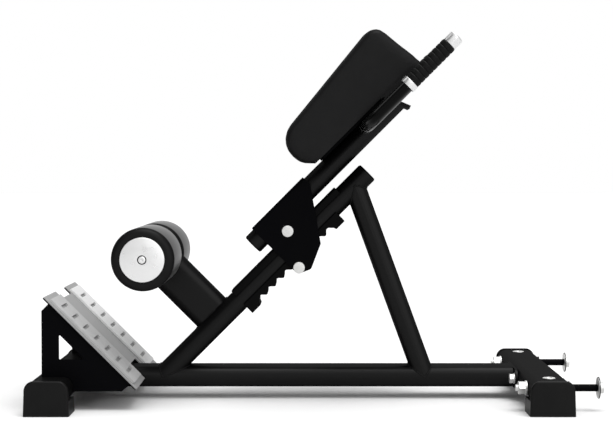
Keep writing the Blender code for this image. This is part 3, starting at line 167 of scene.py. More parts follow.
def turnedMarks():  # fine rings that a lathe leaves round the z axis of the mapped coordinates
    group, given, result = startGrain("turnedMarks")
    apart = addNode(group, "ShaderNodeSeparateXYZ", {0: given["Vector"]}).outputs
    flat = addNode(group, "ShaderNodeCombineXYZ", {0: apart[0], 1: apart[1]})
    reach = addNode(group, "ShaderNodeVectorMath", {0: flat.outputs[0]}, operation="LENGTH")
    ringLine = addNode(group, "ShaderNodeCombineXYZ", {0: reach.outputs["Value"], 1: apart[2]})
    rings = noise(group, ringLine.outputs[0], given["Scale"], 4.0)
    cloud = noise(group, given["Vector"], grainShape["turnedCloud"], 2.0)
    return endGrain(group, result, rings, mottled(group, cloud))


def platedSpangle():  # the cloudy, slightly crystalline look of zinc plate
    group, given, result = startGrain("platedSpangle")
    flakes = addNode(group, "ShaderNodeTexVoronoi", {"Vector": given["Vector"], "Scale": given["Scale"]})
    shade = addNode(group, "ShaderNodeSeparateColor", {0: flakes.outputs["Color"]})
    fine = noise(group, given["Vector"], grainShape["platedFine"], 2.0)
    return endGrain(group, result, fine, shade.outputs[0])


def woodGrain():  # long streaks along x
    group, given, result = startGrain("woodGrain")
    stretched = addNode(group, "ShaderNodeMapping", {
        "Vector": given["Vector"], "Scale": (grainShape["woodStretch"], 1.0, 1.0)})
    streaks = noise(group, stretched.outputs[0], given["Scale"], 4.0)
    spread = ramp(group, streaks, grainShape["woodLow"], grainShape["woodHigh"])
    return endGrain(group, result, streaks, spread)


grains = {
    "moulded": mouldedGrain(), "hide": hideGrain(), "turned": turnedMarks(), "plated": platedSpangle(),
    "wood": woodGrain()}


# Finishes: face, rim, power and mirror shape a reflection that grows where the surface turns away
common = {"spread": 0.12, "roughSpread": 0.04, "relief": 0.0002}
coated = {"grain": "moulded", "roughness": 0.6, "specular": 0.0}
painted = {"grain": "moulded", "specular": 0.3, "bump": 0.12}
looks = {
    "tubeCoat": {
        **coated, "scale": 900.0, "colour": (0.0024, 0.0024, 0.0025), "bump": 0.06, "spread": 0.05,
        "face": 0.0150, "rim": 0.014, "power": 2.0, "mirror": 0.36},
    "plateCoat": {
        **coated, "scale": 900.0, "colour": (0.0022, 0.0022, 0.0028), "bump": 0.05, "spread": 0.05,
        "face": 0.0022, "rim": 0.012, "power": 3.0, "mirror": 0.40},
    "glossCoat": {
        **coated, "scale": 350.0, "colour": (0.0020, 0.0020, 0.0020), "bump": 0.004,
        "face": 0.007, "rim": 0.42, "power": 2.1, "mirror": 0.23},
    "greyCoat": {
        **painted, "scale": 1100.0, "colour": (0.35, 0.35, 0.35), "roughness": 0.55, "spread": 0.03},
    # the two tread strips are one moulding: the far strip's paler tone is painted light and the near strip's
    # greyer tone is painted shade
    "paleTread": {
        **painted, "scale": 1300.0, "colour": (0.88, 0.88, 0.88), "roughness": 0.60, "spread": 0.02},
    "greyTread": {
        **painted, "scale": 1300.0, "colour": (0.52, 0.52, 0.52), "roughness": 0.60, "spread": 0.06},
    "footRubber": {
        **coated, "scale": 1200.0, "colour": (0.0060, 0.0060, 0.0060), "bump": 0.10,
        "face": 0.011, "rim": 0.36, "power": 6.0, "mirror": 0.30},
    "gripRubber": {
        **coated, "scale": 1500.0, "colour": (0.0060, 0.0060, 0.0060), "bump": 0.10,
        "face": 0.009, "rim": 0.08, "power": 2.5, "mirror": 0.40},
    "blackPlastic": {
        **coated, "scale": 1400.0, "colour": (0.0020, 0.0020, 0.0021), "bump": 0.08,
        "face": 0.0045, "rim": 0.02, "power": 3.0, "mirror": 0.40},
    "foamSkin": {
        **coated, "scale": 1600.0, "colour": (0.0080, 0.0080, 0.0082), "bump": 0.10,
        "face": 0.009, "rim": 0.52, "power": 8.0, "mirror": 0.35},
    "padVinyl": {
        **coated, "grain": "hide", "scale": 520.0, "colour": (0.0092, 0.0092, 0.0094), "bump": 0.15,
        "face": 0.0100, "rim": 0.03, "power": 3.0, "mirror": 0.42},
    "stainedBoard": {
        "grain": "wood", "scale": 260.0, "colour": (0.016, 0.013, 0.011), "roughness": 0.70, "specular": 0.1,
        "bump": 0.25, "spread": 0.35},
    "zincPlate": {
        "grain": "plated", "scale": 420.0, "colour": (0.72, 0.72, 0.71), "roughness": 0.38, "metallic": 0.7,
        "bump": 0.02, "spread": 0.05},
    "satinMetal": {
        "grain": "turned", "scale": 600.0, "colour": (0.80, 0.80, 0.80), "roughness": 0.30, "metallic": 0.85,
        "bump": 0.01, "spread": 0.01},
}


def makeFinish(name, look, place=level):
    material = bpy.data.materials.new(name)
    material.use_nodes = True
    tree = material.node_tree
    shader = tree.nodes["Principled BSDF"]
    where = addNode(tree, "ShaderNodeTexCoord").outputs["Object"]
    if place != level:  # centres and turns the pattern on the piece
        back = place.inverted()
        where = addNode(tree, "ShaderNodeMapping", {
            "Vector": where, "Location": back.translation, "Rotation": back.to_euler()}).outputs[0]
    grain = addNode(
        tree, "ShaderNodeGroup", {"Vector": where, "Scale": look["scale"]}, node_tree=grains[look["grain"]])
    mottle = grain.outputs["Mottle"]
    spread = look.get("spread", common["spread"])
    darker = [channel * (1 - spread) for channel in look["colour"]] + [1.0]
    lighter = [channel * (1 + spread) for channel in look["colour"]] + [1.0]
    tree.links.new(mix(tree, "RGBA", mottle, darker, lighter), shader.inputs["Base Color"])
    rough, either = look["roughness"], common["roughSpread"]
    tree.links.new(ramp(tree, mottle, 0.0, 1.0, rough - either, rough + either), shader.inputs["Roughness"])
    bump = addNode(tree, "ShaderNodeBump", {
        "Strength": look["bump"], "Distance": common["relief"], "Height": grain.outputs["Height"]})
    tree.links.new(bump.outputs[0], shader.inputs["Normal"])
    shader.inputs["Metallic"].default_value = look.get("metallic", 0.0)
    shader.inputs["Specular IOR Level"].default_value = look.get("specular", 0.5)
    if "rim" in look:
        facing = addNode(tree, "ShaderNodeLayerWeight", {"Blend": 0.5})
        curve = calculate(tree, "POWER", facing.outputs["Facing"], look["power"])
        share = calculate(tree, "MULTIPLY_ADD", curve, look["rim"], look["face"])
        mirror = addNode(tree, "ShaderNodeBsdfAnisotropic", {
            "Roughness": look["mirror"], "Normal": bump.outputs[0]})
        blend = addNode(
            tree, "ShaderNodeMixShader", {0: share, 1: shader.outputs[0], 2: mirror.outputs[0]})
        tree.links.new(blend.outputs[0], tree.nodes["Material Output"].inputs["Surface"])
    return material


finishes = {name: makeFinish(name, look) for name, look in looks.items()}
print("finishes made:", len(finishes))


# Pieces
edges = {"sharp": 35.0, "merge": 0.00002, "flat": 0.8, "segments": 2, "bevelled": 40.0}


def newObject(name, data):
    thing = bpy.data.objects.new(name, data)
    bpy.context.scene.collection.objects.link(thing)
    return thing


def meshFrom(name, mesh):  # frees the bmesh
    bmesh.ops.recalc_face_normals(mesh, faces=mesh.faces)
    data = bpy.data.meshes.new(name)
    mesh.to_mesh(data)
    mesh.free()
    return data


def shapedCopy(thing):  # the mesh that the modifiers give
    bpy.context.view_layer.update()
    data = bpy.data.meshes.new_from_object(thing.evaluated_get(bpy.context.evaluated_depsgraph_get()))
    thing.modifiers.clear()
    thing.data = data
    return data


def smoothFaces(data, sharpAngle):
    data.shade_smooth()
    data.set_sharp_from_angle(angle=math.radians(sharpAngle))


def camelName(node):
    first, *rest = node.split("_")
    return first + "".join(word.title() for word in rest)


def addPiece(node, mesh, finish, turn=level, sharpAngle=edges["sharp"], name=None):
    name = name or camelName(node)
    data = meshFrom(name, mesh) if isinstance(mesh, bmesh.types.BMesh) else mesh
    data.transform(turn)
    smoothFaces(data, sharpAngle)
    data.materials.clear()
    data.materials.append(finish)
    piece = newObject(name, data)
    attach(piece, nodeBody[node])
    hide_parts(node)
    return piece


def mergedCopy(node):
    mesh = bmesh.new()
    mesh.from_mesh(frame["nodes"][node].data)
    bmesh.ops.remove_doubles(mesh, verts=mesh.verts, dist=edges["merge"])
    return mesh


def joinFlats(mesh):
    flat = math.radians(edges["flat"])
    bmesh.ops.dissolve_limit(mesh, angle_limit=flat, verts=mesh.verts, edges=mesh.edges)


def softenEdges(piece, width):
    soften = piece.modifiers.new("softEdges", "BEVEL")
    soften.width = width
    soften.segments = edges["segments"]
    soften.limit_method = "ANGLE"
    soften.angle_limit = math.radians(edges["bevelled"])
    soften.harden_normals = True


# Outlines and turned shapes

def filletPath(corners, steps=6, closed=True):  # corners are (x, y, radius)
    points = []
    count = len(corners)
    for index, (x, y, radius) in enumerate(corners):
        here = Vector((x, y))
        if radius == 0 or (not closed and index in (0, count - 1)):
            points.append(here)
            continue
        before = (Vector(corners[index - 1][:2]) - here).normalized()
        after = (Vector(corners[(index + 1) % count][:2]) - here).normalized()
        half = before.angle(after) / 2
        centre = here + (before + after).normalized() * radius / math.sin(half)
        start = here + before * radius / math.tan(half) - centre
        finish = here + after * radius / math.tan(half) - centre
        turn = start.angle_signed(finish)
        for step in range(steps + 1):
            points.append(centre + Matrix.Rotation(-turn * step / steps, 2) @ start)
    return points


def joinRings(mesh, rings, closed=False):
    pairs = list(zip(rings, rings[1:]))
    if closed:
        pairs.append((rings[-1], rings[0]))
    for low, high in pairs:
        for index in range(max(len(low), len(high))):
            following = index + 1
            corners = [low[index % len(low)], low[following % len(low)]]
            corners += [high[following % len(high)], high[index % len(high)]]
            mesh.faces.new(list(dict.fromkeys(corners)))


def addLoft(mesh, sections):  # each section is a y and its (x, z) outline
    rings = [[mesh.verts.new((x, y, z)) for x, z in outline] for y, outline in sections]
    joinRings(mesh, rings)
    mesh.faces.new(rings[0])
    mesh.faces.new(rings[-1])


def spinProfile(mesh, profile, place, steps=72, closed=False):  # (along, radius) or (along, radius, flats)
    rings = []
    for along, radius, *flats in profile:
        if radius < 0.000001:
            rings.append([mesh.verts.new(place @ Vector((0.0, 0.0, along)))])
            continue
        ring = []
        for step in range(steps):
            angle = 2 * math.pi * step / steps
            reach = radius
            if flats and flats[0]:
                fromFlat = (angle % (math.pi / 3)) - math.pi / 6
                reach = min(radius, flats[0] / 2 / math.cos(fromFlat))
            point = Vector((reach * math.cos(angle), reach * math.sin(angle), along))
            ring.append(mesh.verts.new(place @ point))
        rings.append(ring)
    joinRings(mesh, rings, closed)


def turnedPiece(node, corners, place, finish, turn=level, steps=72, closed=False, part=""):
    name = camelName(node) + part
    profile = filletPath([corner if len(corner) == 3 else (*corner, 0.0) for corner in corners], 4, closed)
    mesh = bmesh.new()
    spinProfile(mesh, [tuple(point) for point in profile], place, steps, closed)
    material = finishes[finish]
    if looks[finish]["grain"] == "turned":  # its rings are centred on the piece
        material = makeFinish(name + "Finish", looks[finish], turn @ place)
    addPiece(node, mesh, material, turn, name=name)


hexChamfer = {"inner": 0.97, "angle": 30.0}


def hexProfile(low, high, flats, chamferHigh=True):  # solid hexagon with turned corners
    corner = flats / math.sqrt(3)
    inner = flats / 2 * hexChamfer["inner"]
    drop = (corner - inner) * math.tan(math.radians(hexChamfer["angle"]))
    rise = [(drop * part, inner + (corner - inner) * part) for part in (0.0, 0.25, 0.5, 0.75)]
    profile = [(low + along, reach, flats) for along, reach in rise]
    profile += [(low + drop, corner, flats), (high - drop * chamferHigh, corner, flats)]
    if chamferHigh:
        profile += [(high - along, reach, flats) for along, reach in reversed(rise)]
    return profile


def socketEnd(top, part):  # the drive socket in the middle of a head
    return [
        (top, part["socket"], part["socketEdge"]),
        (top - part["socketWall"], part["socket"] * part["socketTaper"]), (top - part["socketDepth"], 0.0)]


def domedBolt(tip, top, bolt):
    under, head, shank = top - bolt["height"], bolt["head"], bolt["shank"]
    return [
        (tip, 0.0), (tip, shank, bolt["tipEdge"]), (under, shank), (under, head, bolt["underEdge"]),
        (top - bolt["rim"], head * bolt["rimPart"], bolt["rimEdge"]),
        (top, head * bolt["crownPart"], bolt["crownEdge"]), *socketEnd(top, bolt)]


# Coated steel, plates and mouldings that keep the frame's shape
softened = {
    "tubeCoat": {
        "edge": 0.0007,
        "nodes": [
            "main_beam", "front_cross_tube", "rear_cross_tube", "inclined_rail", "rear_strut", "roller_arm",
            "upper_tube"],
    },
    "plateCoat": {
        "edge": 0.0008,
        "nodes": ["carriage_bracket", "left_gusset", "right_gusset", "pad_mounting_plate"],
    },
    # one tread moulding, painted lighter on the far strip and darker on the near strip to stand for how light
    # falls on them
    "paleTread": {"edge": 0.0007, "nodes": ["left_tread_strip"]},
    "greyTread": {"edge": 0.0007, "nodes": ["right_tread_strip"]},
    "blackPlastic": {
        "edge": 0.0009,
        "nodes": ["rail_end_plug", "roller_arm_plug", "upper_tube_plug", "top_wear_strip", "notch_rack"],
    },
    "stainedBoard": {"edge": 0.0015, "nodes": ["left_pad_board", "right_pad_board"]},
}
for finish, group in softened.items():
    for node in group["nodes"]:
        mesh = mergedCopy(node)
        joinFlats(mesh)
        softenEdges(addPiece(node, mesh, finishes[finish]), group["edge"])


footplate = {"coreHeight": 0.0028, "edge": 0.0006}
alongPlate = Matrix.Rotation(math.radians(45.0), 4, "Y")  # x runs down the footplate, z stands off it


def makeFootplate(name, finish, upper):  # a grey sheet on a black core
    mesh = mergedCopy("footplate")
    joinFlats(mesh)
    mesh.transform(alongPlate.inverted())
    seam = boxIn(alongPlate, "footplate")[0].z + footplate["coreHeight"]
    parts = mesh.verts[:] + mesh.edges[:] + mesh.faces[:]
    cut = bmesh.ops.bisect_plane(
        mesh, geom=parts, plane_co=(0, 0, seam), plane_no=(0, 0, 1), clear_inner=upper, clear_outer=not upper)
    rim = [edge for edge in cut["geom_cut"] if isinstance(edge, bmesh.types.BMEdge)]
    bmesh.ops.triangle_fill(mesh, use_beauty=True, edges=rim)
    joinFlats(mesh)
    piece = addPiece("footplate", mesh, finishes[finish], alongPlate, name=name)
    softenEdges(piece, footplate["edge"])


makeFootplate("footplateSheet", "greyCoat", True)
makeFootplate("footplateCore", "plateCoat", False)
kept = {"roller_axle": "zincPlate", "left_roller_core": "blackPlastic", "right_roller_core": "blackPlastic"}
for node, finish in kept.items():
    frame["nodes"][node].data.materials.clear()
    frame["nodes"][node].data.materials.append(finishes[finish])
print("frame pieces dressed")


# Rubber feet: a rounded end wall and a low shoe under the tube
foot = {
    "shoulderRadius": 0.023, "shoulderInset": 0.0025, "shoulderSteps": 14, "edge": 0.0042, "edgeSteps": 6,
    "boreRadius": 0.0213, "boreSteps": 10, "borePast": 0.01, "shoeHeight": 0.034, "endWall": 0.007,
    "soften": 0.0009}


def footOutline(node, inset):
    low, high = boxIn(level, node)
    middle = (low.x + high.x) / 2
    base = (high.x - low.x) / 2 - inset
    shoulder = base - foot["shoulderInset"]
    radius = foot["shoulderRadius"] - inset
    top = high.z - inset
    corners = [(middle - base, 0.0, 0.0), (middle + base, 0.0, 0.0)]
    corners += [(middle + shoulder, top, radius), (middle - shoulder, top, radius)]
    return filletPath(corners, foot["shoulderSteps"])


def boreOutlines(tube):  # the tube's own section, and all that lies above the shoe
    low, high = boxIn(level, tube)
    width, height = high.x - low.x + 2 * fitGap, high.z - low.z + 2 * fitGap
    x, z = (low.x + high.x) / 2, (low.z + high.z) / 2
    corners = ((-1, -1), (1, -1), (1, 1), (-1, 1))
    section = filletPath([
        (x + u * width / 2, z + v * height / 2, foot["boreRadius"]) for u, v in corners], foot["boreSteps"])
    above = [(x + u * width, 1.5 * height + z if v > 0 else foot["shoeHeight"]) for u, v in corners]
    return section, above


def makeFoot(end, sideName, side):
    node = end + "_" + sideName + "_foot"
    low, high = boxIn(level, node)
    outer = max(side * low.y, side * high.y)
    inner = min(side * low.y, side * high.y)
    sections = [(side * inner, footOutline(node, 0.0))]
    for step in range(foot["edgeSteps"] + 1):
        angle = math.radians(90.0 * step / foot["edgeSteps"])
        reach = outer - foot["edge"] * (1 - math.sin(angle))
        sections.append((side * reach, footOutline(node, foot["edge"] * (1 - math.cos(angle)))))
    mesh = bmesh.new()
    addLoft(mesh, sections)
    piece = addPiece(node, mesh, finishes["footRubber"])
    bore = bmesh.new()
    for outline in boreOutlines(end + "_cross_tube"):
        addLoft(bore, [(side * y, outline) for y in (inner - foot["borePast"], outer - foot["endWall"])])
    cutter = newObject("footBore", meshFrom("footBore", bore))
    cut = piece.modifiers.new("bore", "BOOLEAN")
    cut.object = cutter
    cut.use_self = True
    smoothFaces(shapedCopy(piece), edges["sharp"])
    bpy.data.objects.remove(cutter)
    softenEdges(piece, foot["soften"])


for end in ("front", "rear"):
    for sideName, side in sides:
        makeFoot(end, sideName, side)
print("feet made")


# Fasteners on the rear cross tube
flangeBolt = {
    "flats": 0.021, "head": 0.0125, "washer": 0.0022, "washerRadius": 0.0130, "shank": 0.006, "tip": 0.0008}
pegNut = {"flats": 0.0275, "flange": 0.0165, "flangeHeight": 0.004, "edge": 0.0004, "bore": 0.0078}
peg = {
    "radius": 0.0083, "stud": 0.0075, "studEnd": 0.0062, "studEdge": 0.0012, "shoulder": 0.015,
    "shoulderThickness": 0.003, "edge": 0.0006}
pegDisc = {
    "radius": 0.025, "thickness": 0.0032, "backEdge": 0.0004, "faceEdge": 0.0006, "washer": 0.0008,
    "washerInset": 0.0006, "washerEdge": 0.0003, "bolt": 0.004, "head": 0.0128, "headHeight": 0.0105,
    "headEdge": 0.0022, "socket": 0.006, "socketEdge": 0.0003, "socketWall": 0.004, "socketTaper": 0.92,
    "socketDepth": 0.0045}
footBolt = {
    "head": 0.0145, "height": 0.0020, "shank": 0.005, "tipEdge": 0.0005, "underEdge": 0.0003, "rim": 0.0005,
    "rimPart": 0.97, "rimEdge": 0.0004, "crownPart": 0.80, "crownEdge": 0.002, "socket": 0.008,
    "socketEdge": 0.0002, "socketWall": 0.0015, "socketTaper": 0.9, "socketDepth": 0.0015}


def spunPiece(node, profile, place, closed):
    mesh = bmesh.new()
    spinProfile(mesh, profile, place, closed=closed)
    addPiece(node, mesh, finishes["zincPlate"])


def makeFlangeBolt(sideName):
    node = sideName + "_flange_bolt"
    low, high = boxIn(level, node)
    place = axisAt(Vector((low.x, (low.y + high.y) / 2, (low.z + high.z) / 2)), (1, 0, 0))
    length, head, shank, tip = high.x - low.x, flangeBolt["head"], flangeBolt["shank"], flangeBolt["tip"]
    under = head - flangeBolt["washer"]
    profile = [(0.0, 0.0)] + hexProfile(0.0, under, flangeBolt["flats"], False)
    profile += [(under, flangeBolt["washerRadius"]), (head, flangeBolt["washerRadius"]), (head, shank)]
    profile += [(length - tip, shank), (length, shank - tip), (length, 0.0)]
    spunPiece(node, profile, place, False)

    node = sideName + "_flange_nut"
    nutLow, nutHigh = boxIn(level, node)
    start, end, bore = nutLow.x - low.x, nutHigh.x - low.x, shank + fitGap
    profile = hexProfile(start, end, flangeBolt["flats"]) + [(end, bore), (start, bore)]
    spunPiece(node, profile, place, True)


def makePeg(sideName):
    node = sideName + "_band_peg"
    low, high = boxIn(level, node)
    place = axisAt(Vector((0.0, (low.y + high.y) / 2, (low.z + high.z) / 2)), (1, 0, 0))
    edge = peg["edge"]
    seat = boxIn(level, "rear_cross_tube")[1].x + fitGap
    shoulder = seat + peg["shoulderThickness"]
    nutLow, nutHigh = boxIn(level, sideName + "_peg_nut")
    tip = nutLow.x - peg["studEnd"]
    turnedPiece(node, [
        (tip, 0.0), (tip, peg["stud"], peg["studEdge"]), (seat, peg["stud"]), (seat, 0.0)], place,
        "zincPlate", part="Stud")
    turnedPiece(node, [
        (seat, 0.0), (seat, peg["shoulder"], edge / 2), (shoulder, peg["shoulder"], edge),
        (shoulder, peg["radius"], edge), (high.x, peg["radius"], edge / 2), (high.x, 0.0)], place,
        "plateCoat")

    waist = nutHigh.x - pegNut["flangeHeight"]
    rim, soft = pegNut["flange"], pegNut["edge"]
    profile = hexProfile(nutLow.x, waist, pegNut["flats"], False)
    profile += [(waist, rim - soft), (waist + soft, rim), (nutHigh.x - soft, rim), (nutHigh.x, rim - soft)]
    profile += [(nutHigh.x, pegNut["bore"]), (nutLow.x, pegNut["bore"])]
    spunPiece(sideName + "_peg_nut", profile, place, True)

    node = sideName + "_peg_disc"
    low, high = boxIn(level, node)
    face = high.x - pegDisc["headHeight"]
    back = face - pegDisc["thickness"]
    front = back + pegDisc["washer"]
    radius, bolt, head = pegDisc["radius"], pegDisc["bolt"], pegDisc["head"]
    washer = radius - pegDisc["washerInset"]
    turnedPiece(node, [
        (low.x, 0.0), (low.x, bolt), (back, bolt), (back, washer, pegDisc["washerEdge"]), (front, washer),
        (front, bolt), (face, bolt), (face, head), (high.x, head, pegDisc["headEdge"]),
        *socketEnd(high.x, pegDisc)], place, "zincPlate")
    turnedPiece(node, [
        (front, bolt), (front, radius, pegDisc["backEdge"]), (face, radius, pegDisc["faceEdge"]),
        (face, bolt)], place, "plateCoat", closed=True, part="Rim")


def makeFootBolt(sideName):
    node = sideName + "_rear_foot_bolt"
    low, high = boxIn(level, node)
    place = axisAt(Vector(((low.x + high.x) / 2, (low.y + high.y) / 2, 0.0)), (0, 0, 1))
    turnedPiece(node, domedBolt(low.z, high.z, footBolt), place, "zincPlate")


for sideName, side in sides:
    makeFlangeBolt(sideName)
    makePeg(sideName)
    makeFootBolt(sideName)
print("rear fasteners made")


# Ankle rollers: foam, domed end discs and their bolts, each bolt head ringed by black plastic, which is
# painted shade standing in for the shadow in the gap round the head
roller = {
    "radius": 0.0735, "edge": 0.016, "faceEdge": 0.002, "bore": 0.0166, "dish": 0.0008, "edgeSteps": 12,
    "sides": 128, "sharp": 60.0}
disc = {
    "radius": 0.0515, "rim": 0.0025, "backEdge": 0.0004, "rimEdge": 0.0008, "dome": 0.0060, "domeSteps": 12,
    "flat": 0.014, "recess": 0.0108, "recessEdge": 0.0004, "depth": 0.0036, "sides": 128}
rollerBolt = {
    "head": 0.0084, "height": 0.0036, "shank": 0.005, "tipEdge": 0.0005, "underEdge": 0.0002, "rim": 0.0006,
    "rimPart": 1.0, "rimEdge": 0.0006, "crownPart": 0.72, "crownEdge": 0.002, "socket": 0.0030,
    "socketEdge": 0.0003, "socketWall": 0.0060, "socketTaper": 0.95, "socketDepth": 0.0066}
# a black ring in the gap round each bolt head: painted shade for the shadow in that gap
shadeRing = {"depth": 0.0006, "gap": 0.0001, "edge": 0.0003}


def makeRoller(sideName, side):
    node = sideName + "_foam_roller"
    low, high = boxIn(alongRail, node)
    centre = middleOf(alongRail, node)
    centre.y = 0.0
    place = axisAt(centre, (0, side, 0))
    inner, outer = sorted((side * low.y, side * high.y))
    radius, edge, faceEdge = roller["radius"], roller["edge"], roller["faceEdge"]
    profile = filletPath([
        (inner, roller["bore"], 0.0), (inner, radius, edge), (outer, radius, edge),
        (outer, radius - edge - faceEdge, faceEdge), (outer - roller["dish"], roller["bore"], 0.0)],
        roller["edgeSteps"])
    mesh = bmesh.new()
    spinProfile(mesh, [tuple(point) for point in profile], place, roller["sides"], True)
    foam = addPiece(node, mesh, finishes["foamSkin"], alongRail, roller["sharp"])

    node = sideName + "_roller_disc"
    low, high = boxIn(alongRail, node)
    face = min(abs(low.y), abs(high.y))
    rim, crown, radius, recess = face + disc["rim"], face + disc["dome"], disc["radius"], disc["recess"]
    floor = crown - disc["depth"]
    bore = rollerBolt["shank"] + fitGap
    corners = [(face, bore), (face, radius, disc["backEdge"]), (rim, radius, disc["rimEdge"])]
    for step in range(1, disc["domeSteps"] + 1):
        part = step / disc["domeSteps"]
        climb = (disc["dome"] - disc["rim"]) * math.sin(part * math.pi / 2)
        corners.append((rim + climb, radius + (disc["flat"] - radius) * part))
    corners += [(crown, recess, disc["recessEdge"]), (floor, recess), (floor, bore)]
    turnedPiece(node, corners, place, "satinMetal", alongRail, disc["sides"], closed=True)

    node = sideName + "_roller_bolt"
    low, high = boxIn(alongRail, node)
    tip, top = sorted((side * low.y, side * high.y))
    seat, shadeRingTop = top - rollerBolt["height"], top - shadeRing["depth"]
    inside, outside = rollerBolt["head"] + shadeRing["gap"], recess - shadeRing["gap"]
    # the black ring round the head is painted shade, not a real part
    turnedPiece(node, [
        (seat, inside), (seat, outside), (shadeRingTop, outside, shadeRing["edge"]), (shadeRingTop, inside, shadeRing["edge"])],
        place, "blackPlastic", alongRail, closed=True, part="Seal")
    turnedPiece(node, domedBolt(tip, top, rollerBolt), place, "satinMetal", alongRail)


for sideName, side in sides:
    makeRoller(sideName, side)
print("rollers made")


# Pins of the carriage, each with a flat head outside the bracket
pins = {
    "guide_pin": {"body": 0.006, "neck": 0.0045},
    "lock_bar": {"body": 0.0080, "neck": 0.0045},
}
pinHead = {
    "radius": 0.014, "height": 0.004, "edge": 0.0012, "underEdge": 0.0003, "bodyEdge": 0.0004,
    "inner": 0.0512, "outer": 0.0563}

for node, pin in pins.items():
    place = axisAt(middleOf(alongRail, node), (0, 1, 0))
    inner, outer, radius = pinHead["inner"], pinHead["outer"], pinHead["radius"]
    end = outer + pinHead["height"]
    half = [
        (inner, pin["body"], pinHead["bodyEdge"]), (inner, pin["neck"]), (outer, pin["neck"]),
        (outer, radius, pinHead["underEdge"]), (end, radius, pinHead["edge"]), (end, 0.0)]
    otherHalf = [(-along, *rest) for along, *rest in reversed(half)]
    turnedPiece(node, otherHalf + half, place, "zincPlate", alongRail)
print("pins made")


# Handles: crossbar, bent tubes, collars, ribbed grips and end caps
handle = {"radius": 0.015, "wall": 0.0025, "bend": 0.034, "sides": 48, "bendSteps": 16}
collar = {"radius": 0.0195, "edge": 0.0009}
endCap = {"radius": 0.0178, "edge": 0.0030, "faceEdge": 0.0006, "lip": 0.0008, "spigotEdge": 0.0005}
grip = {"radius": 0.0185, "groove": 0.0015, "sharpness": 5.0, "ribs": 9, "rowsPerRib": 20, "sides": 64}


def sweepTube(mesh, path, radius):  # path is (point, direction) in the plane of the handles
    up = Vector((0, 0, 1))
    rings = []
    for point, direction in path:
        across = up.cross(direction).normalized()
        ring = []
        for step in range(handle["sides"]):
            angle = 2 * math.pi * step / handle["sides"]
            offset = across * radius * math.cos(angle) + up * radius * math.sin(angle)
            ring.append(mesh.verts.new(point + offset))
        rings.append(ring)
    return rings


def makeTube(node, path):
    mesh = bmesh.new()
    outer = sweepTube(mesh, path, handle["radius"])
    inner = sweepTube(mesh, path, handle["radius"] - handle["wall"])
    joinRings(mesh, outer + inner[::-1], True)
    addPiece(node, mesh, finishes["glossCoat"], alongRail)


barMiddle = middleOf(alongRail, "handle_crossbar")
barEnd = boxIn(alongRail, "handle_crossbar")[1].y + fitGap
makeTube("handle_crossbar", [
    (Vector((barMiddle.x, y, barMiddle.z)), Vector((0, 1, 0))) for y in (-barEnd, barEnd)])


def makeHandle(sideName, side):
    node = sideName + "_handle_tube"
    low, high = boxIn(alongRail, node)
    path = []
    for step in range(handle["bendSteps"] + 1):
        angle = math.pi / 2 * step / handle["bendSteps"]
        s = barMiddle.x + handle["bend"] * (1 - math.cos(angle))
        y = barEnd + handle["bend"] * math.sin(angle)
        direction = Vector((math.sin(angle), side * math.cos(angle), 0.0))
        path.append((Vector((s, side * y, barMiddle.z)), direction))
    axis = Vector((0.0, side * (barEnd + handle["bend"]), barMiddle.z))
    path.append((Vector((high.x, axis.y, axis.z)), Vector((1, 0, 0))))
    makeTube(node, path)

    place = axisAt(axis, (1, 0, 0))
    node = sideName + "_handle_collar"
    low, high = boxIn(alongRail, node)
    bore = handle["radius"] + fitGap
    radius, edge = collar["radius"], collar["edge"]
    turnedPiece(node, [
        (low.x, bore), (low.x, radius, edge), (high.x, radius, edge), (high.x, bore)], place, "satinMetal",
        alongRail, closed=True)

    node = sideName + "_handle_end_cap"
    low, high = boxIn(alongRail, node)
    gripEnd = boxIn(alongRail, sideName + "_grip")[1].x + fitGap
    spigot = handle["radius"] - handle["wall"] - fitGap
    radius, edge, faceEdge = endCap["radius"], endCap["edge"], endCap["faceEdge"]
    turnedPiece(node, [
        (low.x, 0.0), (low.x, spigot, endCap["spigotEdge"]), (gripEnd, spigot),
        (gripEnd, radius, endCap["lip"]), (high.x - edge, radius, faceEdge),
        (high.x, radius - edge, faceEdge), (high.x, 0.0)], place, "satinMetal", alongRail)
    return place


def endTree(tree, given, result, geometry):
    real = addNode(tree, "GeometryNodeRealizeInstances", {0: geometry})
    skin = addNode(tree, "GeometryNodeSetMaterial", {
        "Geometry": real.outputs[0], "Material": given["Material"]})
    tree.links.new(skin.outputs[0], result["Geometry"])
    return tree


def ribbedSleeveTree():
    tree, given, result = startGroup("ribbedSleeve", "GeometryNodeTree", {
        "Length": 0.12, "Radius": 0.0185, "Groove": 0.0015, "Sharpness": 5.0, "Ribs": 9, "Rows": 181,
        "Sides": 64, "Material": "Material"}, {"Geometry": "Geometry"})
    tip = addNode(tree, "ShaderNodeCombineXYZ", {2: given["Length"]})
    line = addNode(tree, "GeometryNodeCurvePrimitiveLine", {"End": tip.outputs[0]})
    rows = addNode(tree, "GeometryNodeResampleCurve", {"Curve": line.outputs[0], "Count": given["Rows"]})
    along = addNode(tree, "GeometryNodeSplineParameter")
    part = calculate(tree, "FRACT", calculate(tree, "MULTIPLY", along.outputs["Factor"], given["Ribs"]))
    away = calculate(tree, "ABSOLUTE", calculate(tree, "MULTIPLY_ADD", part, 2.0, -1.0))
    dip = calculate(tree, "MULTIPLY", calculate(tree, "POWER", away, given["Sharpness"]), given["Groove"])
    reach = calculate(tree, "SUBTRACT", given["Radius"], dip)
    ring = addNode(tree, "GeometryNodeCurvePrimitiveCircle", {"Resolution": given["Sides"], "Radius": 1.0})
    sleeve = addNode(tree, "GeometryNodeCurveToMesh", {
        "Curve": rows.outputs[0], "Profile Curve": ring.outputs[0], "Scale": reach, "Fill Caps": True})
    return endTree(tree, given, result, sleeve.outputs[0])


